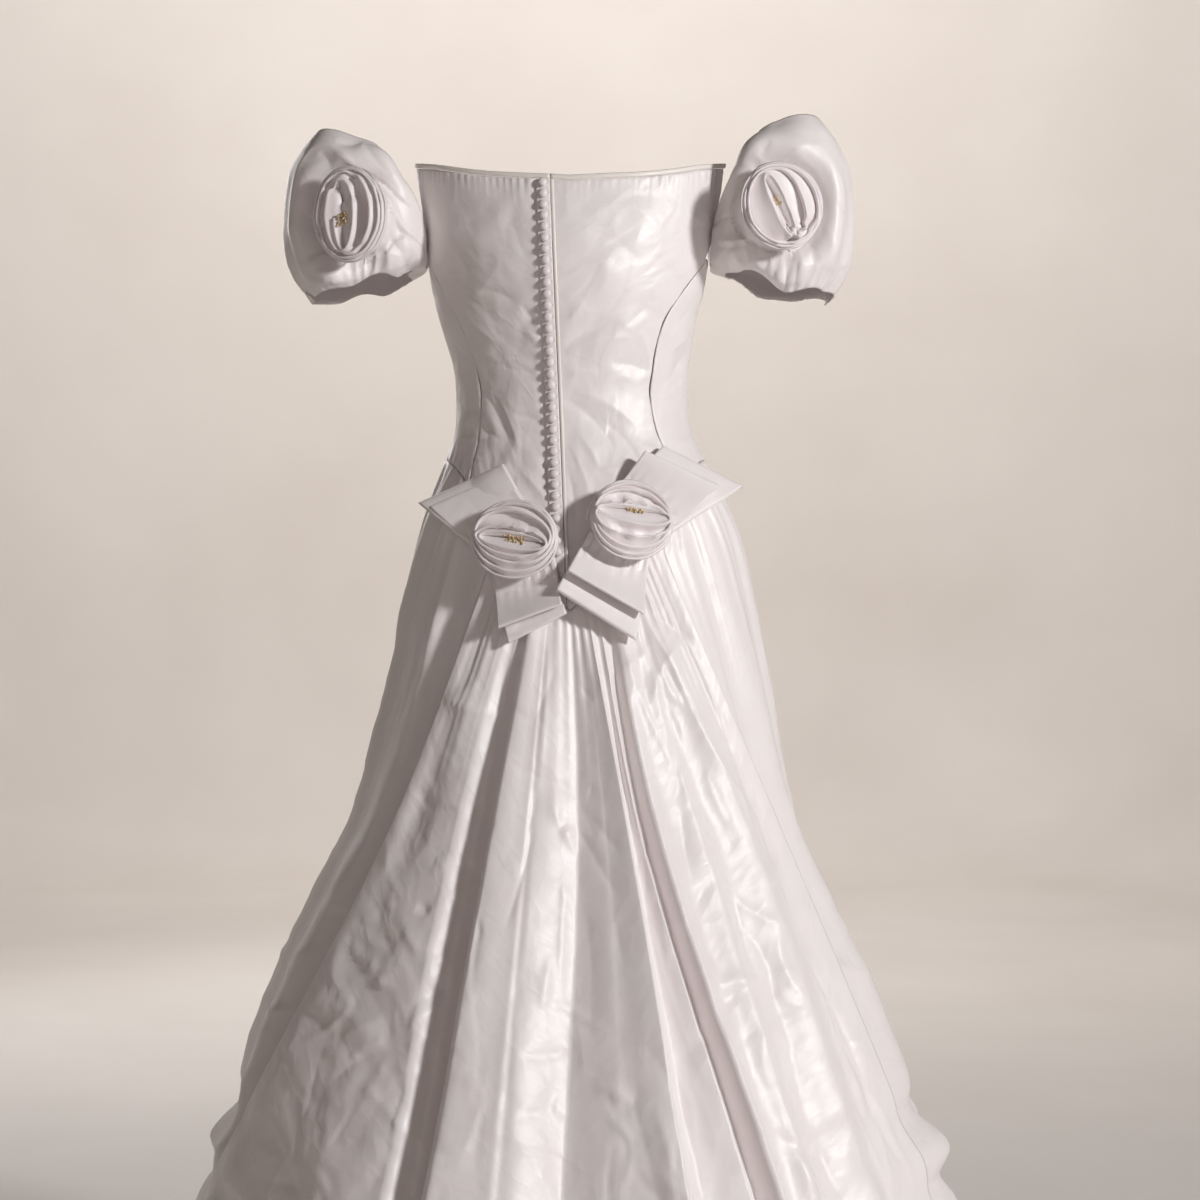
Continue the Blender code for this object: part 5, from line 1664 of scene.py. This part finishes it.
def round_rose(grid, name, seed):
    """How far the cloth round a rose is sunk beside it and swells beyond."""
    base, across, up, out = rose_frame(name)
    offset = grid - base
    right, above, before = offset @ across, offset @ up, offset @ out
    away = np.hypot(right, above) / 0.045
    turn = np.arctan2(above, right)
    near = eased(np.clip((before + 0.045) / 0.030, 0, 1))
    uneven = noise(turn * 1.1 + 9, 0 * turn, seed)
    moat = -ROSE_MOAT * np.exp(-(((away - 0.98) / 0.17) ** 2)) - 0.003 * (away < 1)
    swell = ROSE_SWELL * np.exp(-(((away - 1.45 - 0.08 * uneven) / 0.24) ** 2)) * (1 + 0.6 * uneven)
    return near * (moat + swell)


def sleeve_grid(side, centre, rose_name, creases, seed):
    sizes = bpy.context.scene.gown_cloth
    columns, rows = COARSE * round(SLEEVE_COLUMNS / COARSE), even_count(SLEEVE_ROWS, COARSE)
    degrees = np.arange(columns) * 360 / columns
    turn = np.radians(degrees)
    upper = looked_up(degrees, SLEEVE_EDGES, 1 if side > 0 else 2)
    lower = looked_up(degrees, SLEEVE_EDGES, 3)
    share = 1 - np.linspace(0, 1, rows)[:, None]
    scallop = SLEEVE_SCALLOP * np.sin(4 * turn + side) + 0.002 * np.sin(7 * turn)
    height = lower + scallop * (1 - share) ** 2 + (upper - lower) * share
    fullness = looked_up(share, SLEEVE_FULLNESS)
    wave = np.sin(turn * SLEEVE_GATHERS + 0.8 * np.sin(2 * turn))
    gather = SLEEVE_GATHER_DEPTH * wave * (1 - 0.75 * share)
    girth = np.arange(columns) * 2 * math.pi * 0.075 / columns
    fine = gathers(girth + 0.2 * np.sin(3 * share) * 0.01, 0.0125, seed)
    gather = gather + 0.0011 * fine * np.exp(-share / 0.16)
    outwards, back = np.cos(turn), np.sin(turn)
    power = SLEEVE_SQUARENESS
    square = (np.abs(outwards) ** power + np.abs(back) ** power) ** (-1 / power)
    outwards, back = outwards * square, back * square
    x = centre + outwards * (SLEEVE_HALF_WIDTH * fullness + gather)
    y = back * (SLEEVE_HALF_DEPTH * fullness + gather)
    grid = np.stack([side * x, y, height], axis=-1)
    if side > 0:
        grid = grid[:, ::-1]
    base, _, _, out = rose_frame(rose_name)
    past = np.maximum((grid - base) @ out, 0)
    grid = grid - past[..., None] * out
    facing = normals(grid, around=True)
    x, y, height = np.moveaxis(grid, -1, 0)
    behind = np.clip(y / 0.02, 0, 1)
    relief = behind * press_creases(x, height, creases)
    hidden = strewn_creases(26, ((-270, 270), (110, 260)), (25, 70), (90, 35), seed)
    relief = relief + (1 - behind) * press_creases(x, height, hidden)
    around = lengths_along(grid, 1)
    relief = relief + sizes.crease_depth * (
        0.3 * crumple(around, height, 0.036, seed + 3) + noise(around / 0.06, height / 0.06, seed)
    )
    calm = np.clip(np.minimum(share, 1 - share) / 0.05, 0, 1)
    relief = relief * calm + round_rose(grid, rose_name, seed + 7) * calm
    return outside_form(grid + relief[..., None] * facing)


def sew_sleeves():
    for seed, (name, facts) in enumerate(SLEEVES.items(), 151):
        grid = sleeve_grid(*facts, seed)
        shell = (coat_of("blush"), SLEEVE_WALL, COARSE, SLEEVE_EDGE, True)
        yield cloth_shell(name + "_taffeta", grid, *shell), name


# ---- The cut of each cloth piece ----

# Measured along the finished pieces, without seam allowances. Area None: width by length.
# The width 0.0105 is no measure.
CUTS = {
    # piece: width and length in metres, area in square metres, how it is held
    "skirt_back_taffeta": (1.31, 1.08, 0.78, "gathered"),
    "skirt_side_left_taffeta": (0.54, 1.12, 0.375, "gathered"),
    "skirt_side_right_taffeta": (0.53, 1.12, 0.35, "gathered"),
    "skirt_front_taffeta": (0.98, 1.10, 0.64, "gathered"),
    "bodice_back_left_taffeta": (0.185, 0.42, 0.043, "stretched"),
    "bodice_back_right_taffeta": (0.22, 0.425, 0.05, "stretched"),
    "bodice_side_back_left_taffeta": (0.095, 0.25, 0.0145, "stretched"),
    "bodice_side_front_left_taffeta": (0.125, 0.29, 0.0205, "stretched"),
    "bodice_front_taffeta": (0.235, 0.325, 0.0545, "stretched"),
    "bodice_side_front_right_taffeta": (0.12, 0.29, 0.0205, "stretched"),
    "bodice_side_back_right_taffeta": (0.10, 0.26, 0.0175, "stretched"),
    "neck_binding_back_left_taffeta": (0.17, 0.0105, 0.0010, "stretched"),
    "neck_binding_back_right_taffeta": (0.207, 0.0105, 0.0013, "stretched"),
    "neck_binding_front_taffeta": (0.445, 0.0105, 0.0026, "stretched"),
    "button_placket_taffeta": (0.0135, 0.38, None, "stretched"),
    "loop_piping_taffeta": (0.0105, 0.38, 0.0016, "stretched"),
    "sleeve_left_taffeta": (0.51, 0.19, 0.065, "gathered"),
    "sleeve_right_taffeta": (0.53, 0.205, 0.07, "gathered"),
    "sleeve_rose_left_taffeta": (1.17, 0.049, 0.0235, "folded"),
    "sleeve_rose_right_taffeta": (1.13, 0.034, 0.022, "folded"),
    "waist_rose_left_taffeta": (1.21, 0.035, 0.0226, "folded"),
    "waist_rose_right_taffeta": (1.23, 0.035, 0.023, "folded"),
    "bow_upper_left_taffeta": (0.092, 0.235, None, "folded"),
    "bow_lower_left_taffeta": (0.067, 0.25, None, "folded"),
    "bow_upper_right_taffeta": (0.088, 0.26, None, "folded"),
    "bow_lower_right_taffeta": (0.088, 0.255, None, "folded"),
}


# The strips of the closing lie on the back panel of their own side
STRIPS_REST_ON = {
    "button_placket_taffeta": "bodice_back_left_taffeta",
    "loop_piping_taffeta": "bodice_back_right_taffeta",
}


def declare(piece, rests_on=()):
    """Looks up the flat cut of a cloth piece, and does nothing more with it."""
    width, length, area, held = CUTS[piece.name]
    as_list(rests_on)


# ---- Settings ----


class GownCloth(bpy.types.PropertyGroup):
    """Sizes and colours of the gown's cloth"""

    blush: StringProperty(
        name="Blush", description="Colour of the taffeta, as sRGB hex", default="F5EFEE"
    )
    blush_shade: StringProperty(
        name="Blush shade", description="The taffeta's deeper tone, as sRGB hex", default="EFE4E4"
    )
    rose: StringProperty(
        name="Rose", description="Colour of the rolled roses, as sRGB hex", default="F1EAEB"
    )
    rose_shade: StringProperty(
        name="Rose shade", description="The roses' deeper tone, as sRGB hex", default="EBDDDF"
    )
    ivory: StringProperty(
        name="Ivory", description="Colour of the neck binding, as sRGB hex", default="F3ECE6"
    )
    bead: StringProperty(
        name="Beads", description="Colour of the beads, as sRGB hex", default="E6D3AE"
    )
    bead_deep: StringProperty(
        name="Bead shade", description="The beads' deeper tone, as sRGB hex", default="BC9A6C"
    )
    crease_depth: FloatProperty(
        name="Crease depth",
        description="Height of the small crumples all over the cloth",
        default=0.0015,
        min=0.0,
        max=0.005,
        unit="LENGTH",
    )
    gather_spacing: FloatProperty(
        name="Gather spacing",
        description="Distance between the gathers along the waist seam",
        default=0.012,
        min=0.004,
        max=0.03,
        unit="LENGTH",
    )
    gather_depth: FloatProperty(
        name="Gather depth",
        description="Depth of the gathers along the waist seam",
        default=0.0028,
        min=0.0,
        max=0.008,
        unit="LENGTH",
    )
    slub_length: FloatProperty(
        name="Slub length",
        description="Length of the faint slubs in the weave",
        default=0.030,
        min=0.005,
        max=0.2,
        unit="LENGTH",
    )
    dent_depth: FloatProperty(
        name="Dent depth",
        description="Depth of the small dents in the pressed cloth",
        default=0.0005,
        min=0.0,
        max=0.003,
        unit="LENGTH",
    )


class GownStage(bpy.types.PropertyGroup):
    """The studio round the gown"""

    board: StringProperty(
        name="Board", description="Colour of the floor and sweep, as sRGB hex", default="EFEBE7"
    )
    sweep_distance: FloatProperty(
        name="Sweep distance",
        description="How far from the gown the floor starts to turn up, all round",
        default=5.2,
        min=4.0,
        max=12.0,
        unit="LENGTH",
    )
    key_power: FloatProperty(
        name="Key light",
        description="Power of the small bright lamp behind the gown, on the wearer's right",
        default=66.0,
        min=0.0,
    )
    fill_power: FloatProperty(
        name="Fill light",
        description="Power of the dim broad lamp behind the gown, on the wearer's left",
        default=5.0,
        min=0.0,
    )
    wash_power: FloatProperty(
        name="Wash light",
        description="Power of the lamp on the sweep before the gown",
        default=108.0,
        min=0.0,
    )
    front_power: FloatProperty(
        name="Front light",
        description="Power of the lamp on the gown's front",
        default=20.0,
        min=0.0,
    )
    sky: FloatProperty(
        name="Room light", description="Strength of the even light", default=0.04, min=0.0
    )
    camera_distance: FloatProperty(
        name="Camera distance",
        description="Distance of the camera from the gown's middle",
        default=2.4,
        min=1.0,
        max=20.0,
        unit="LENGTH",
    )
    lens: FloatProperty(
        name="Lens",
        description="Focal length of the camera",
        default=0.072,
        min=0.02,
        max=0.3,
        subtype="DISTANCE_CAMERA",
    )


# ---- Operators ----


def dress(made, slot):
    """Puts each piece on the gown and looks up its cut. The slot is not used."""
    for piece, node in made:
        sew(piece, slot, node)
        declare(piece)


class GOWN_OT_sew_skirt(bpy.types.Operator):
    """Sews the four skirt panels with their folds, gathers and creases"""

    bl_idname = "gown.sew_skirt"
    bl_label = "Sew Skirt"

    def execute(self, context):
        dress(sew_skirt(), "blush_taffeta")
        return {"FINISHED"}


class GOWN_OT_sew_bodice(bpy.types.Operator):
    """Sews the seven bodice panels and the three strips that bind their neck edge"""

    bl_idname = "gown.sew_bodice"
    bl_label = "Sew Bodice"

    def execute(self, context):
        dress(sew_bodice(), "blush_taffeta")
        dress(sew_bindings(), "neck_binding")
        return {"FINISHED"}


class GOWN_OT_sew_closing(bpy.types.Operator):
    """Sews the button strip, the piped edge, the covered buttons and their loops"""

    bl_idname = "gown.sew_closing"
    bl_label = "Sew Closing"

    def execute(self, context):
        for piece, slot, nodes in sew_closing():
            sew(piece, slot, *nodes)
            if piece.name in STRIPS_REST_ON:
                declare(piece, STRIPS_REST_ON[piece.name])
        return {"FINISHED"}


class GOWN_OT_sew_sleeves(bpy.types.Operator):
    """Sews the two puffed sleeves"""

    bl_idname = "gown.sew_sleeves"
    bl_label = "Sew Sleeves"

    def execute(self, context):
        dress(sew_sleeves(), "blush_taffeta")
        return {"FINISHED"}


class GOWN_OT_roll_roses(bpy.types.Operator):
    """Rolls the four roses and strings the beads in them"""

    bl_idname = "gown.roll_roses"
    bl_label = "Roll Roses"

    def execute(self, context):
        dress(sew_roses(), "rose_taffeta")
        sew(string_beads(), "rose_taffeta")
        return {"FINISHED"}


class GOWN_OT_fold_bows(bpy.types.Operator):
    """Folds the four pairs of bow loops"""

    bl_idname = "gown.fold_bows"
    bl_label = "Fold Bows"

    def execute(self, context):
        dress(sew_bows(), "blush_taffeta")
        return {"FINISHED"}


def add_lamp(name, place, target, size, power, colour):
    """A square lamp at a place, turned towards its target."""
    light = bpy.data.lights.new(name, "AREA")
    light.size, light.energy, light.color = size, power, linear(colour)
    lamp = bpy.data.objects.new(name, light)
    bpy.context.scene.collection.objects.link(lamp)
    lamp.location = place
    lamp.rotation_euler = (Vector(target) - Vector(place)).to_track_quat("-Z", "Y").to_euler()
    return lamp


class GOWN_OT_set_stage(bpy.types.Operator):
    """Sets the floor and sweep, the lamps, the even light and the camera"""

    bl_idname = "gown.set_stage"
    bl_label = "Set Stage"

    def execute(self, context):
        scene, stage = context.scene, context.scene.gown_stage
        start, sides = stage.sweep_distance, SWEEP_SIDES
        bend = np.linspace(0, 0.5 * math.pi, 25)
        line = [
            (start + SWEEP_BEND * math.sin(t), SWEEP_BEND * (1 - math.cos(t))) for t in bend
        ]
        line = [(SWEEP_MIDDLE, 0.0), *line, (start + SWEEP_BEND, SWEEP_TOP)]
        turn = np.linspace(0, 2 * math.pi, sides, endpoint=False)
        points = [(r * math.sin(t), r * math.cos(t), FLOOR + z) for r, z in line for t in turn]
        faces = ring_faces(len(line), sides, turned=True)
        faces.append(list(range(sides)))
        board = painted_board("studio_board_painted", stage.board, BOARD_SHADE)
        sweep = add_mesh("floor_and_sweep", points, faces, [board])
        lamps = [
            add_lamp(name, place, target, size, getattr(stage, f"{name}_power"), colour)
            for name, (place, target, size, colour) in LAMPS.items()
        ]
        for lamp in lamps:
            lamp.visible_camera = False
        world = bpy.data.worlds.new("room")
        world.use_nodes = True
        sky = world.node_tree.nodes["Background"]
        sky.inputs["Color"].default_value = (*linear(ROOM_COLOUR), 1)
        sky.inputs["Strength"].default_value = stage.sky
        scene.world = world
        camera = bpy.data.cameras.new("camera")
        camera.lens, camera.sensor_width = 1000 * stage.lens, SENSOR_WIDTH
        eye = bpy.data.objects.new("camera", camera)
        scene.collection.objects.link(eye)
        eye.location = (CAMERA_ACROSS, stage.camera_distance, CAMERA_HEIGHT)
        eye.rotation_euler = (math.radians(90), 0, math.radians(180))
        scene.camera = eye
        scene.view_settings.view_transform = "Standard"
        return {"FINISHED"}


class GOWN_PT_dresser(bpy.types.Panel):
    """Panel of the gown's settings and steps"""

    bl_label = "Ball Gown"
    bl_idname = "GOWN_PT_dresser"
    bl_space_type = "VIEW_3D"
    bl_region_type = "UI"
    bl_category = "Gown"

    def draw(self, context):
        layout, scene = self.layout, context.scene
        for group, steps in ((scene.gown_cloth, SEWING), (scene.gown_stage, STAGING)):
            box = layout.box()
            for name in group.__annotations__:
                box.prop(group, name)
            for step in steps:
                box.operator(step.bl_idname)


SEWING = (
    GOWN_OT_sew_skirt,
    GOWN_OT_sew_bodice,
    GOWN_OT_sew_closing,
    GOWN_OT_sew_sleeves,
    GOWN_OT_roll_roses,
    GOWN_OT_fold_bows,
)
STAGING = (GOWN_OT_set_stage,)
CLASSES = (GownCloth, GownStage, *SEWING, *STAGING, GOWN_PT_dresser)


def register():
    for made in CLASSES:
        bpy.utils.register_class(made)
    bpy.types.Scene.gown_cloth = PointerProperty(type=GownCloth)
    bpy.types.Scene.gown_stage = PointerProperty(type=GownStage)


def unregister():
    del bpy.types.Scene.gown_stage
    del bpy.types.Scene.gown_cloth
    for made in reversed(CLASSES):
        bpy.utils.unregister_class(made)


def main():
    register()
    bpy.ops.gown.sew_skirt()
    bpy.ops.gown.sew_bodice()
    bpy.ops.gown.sew_closing()
    bpy.ops.gown.sew_sleeves()
    bpy.ops.gown.roll_roses()
    bpy.ops.gown.fold_bows()
    bpy.ops.gown.set_stage()


if __name__ == "__main__":
    main()
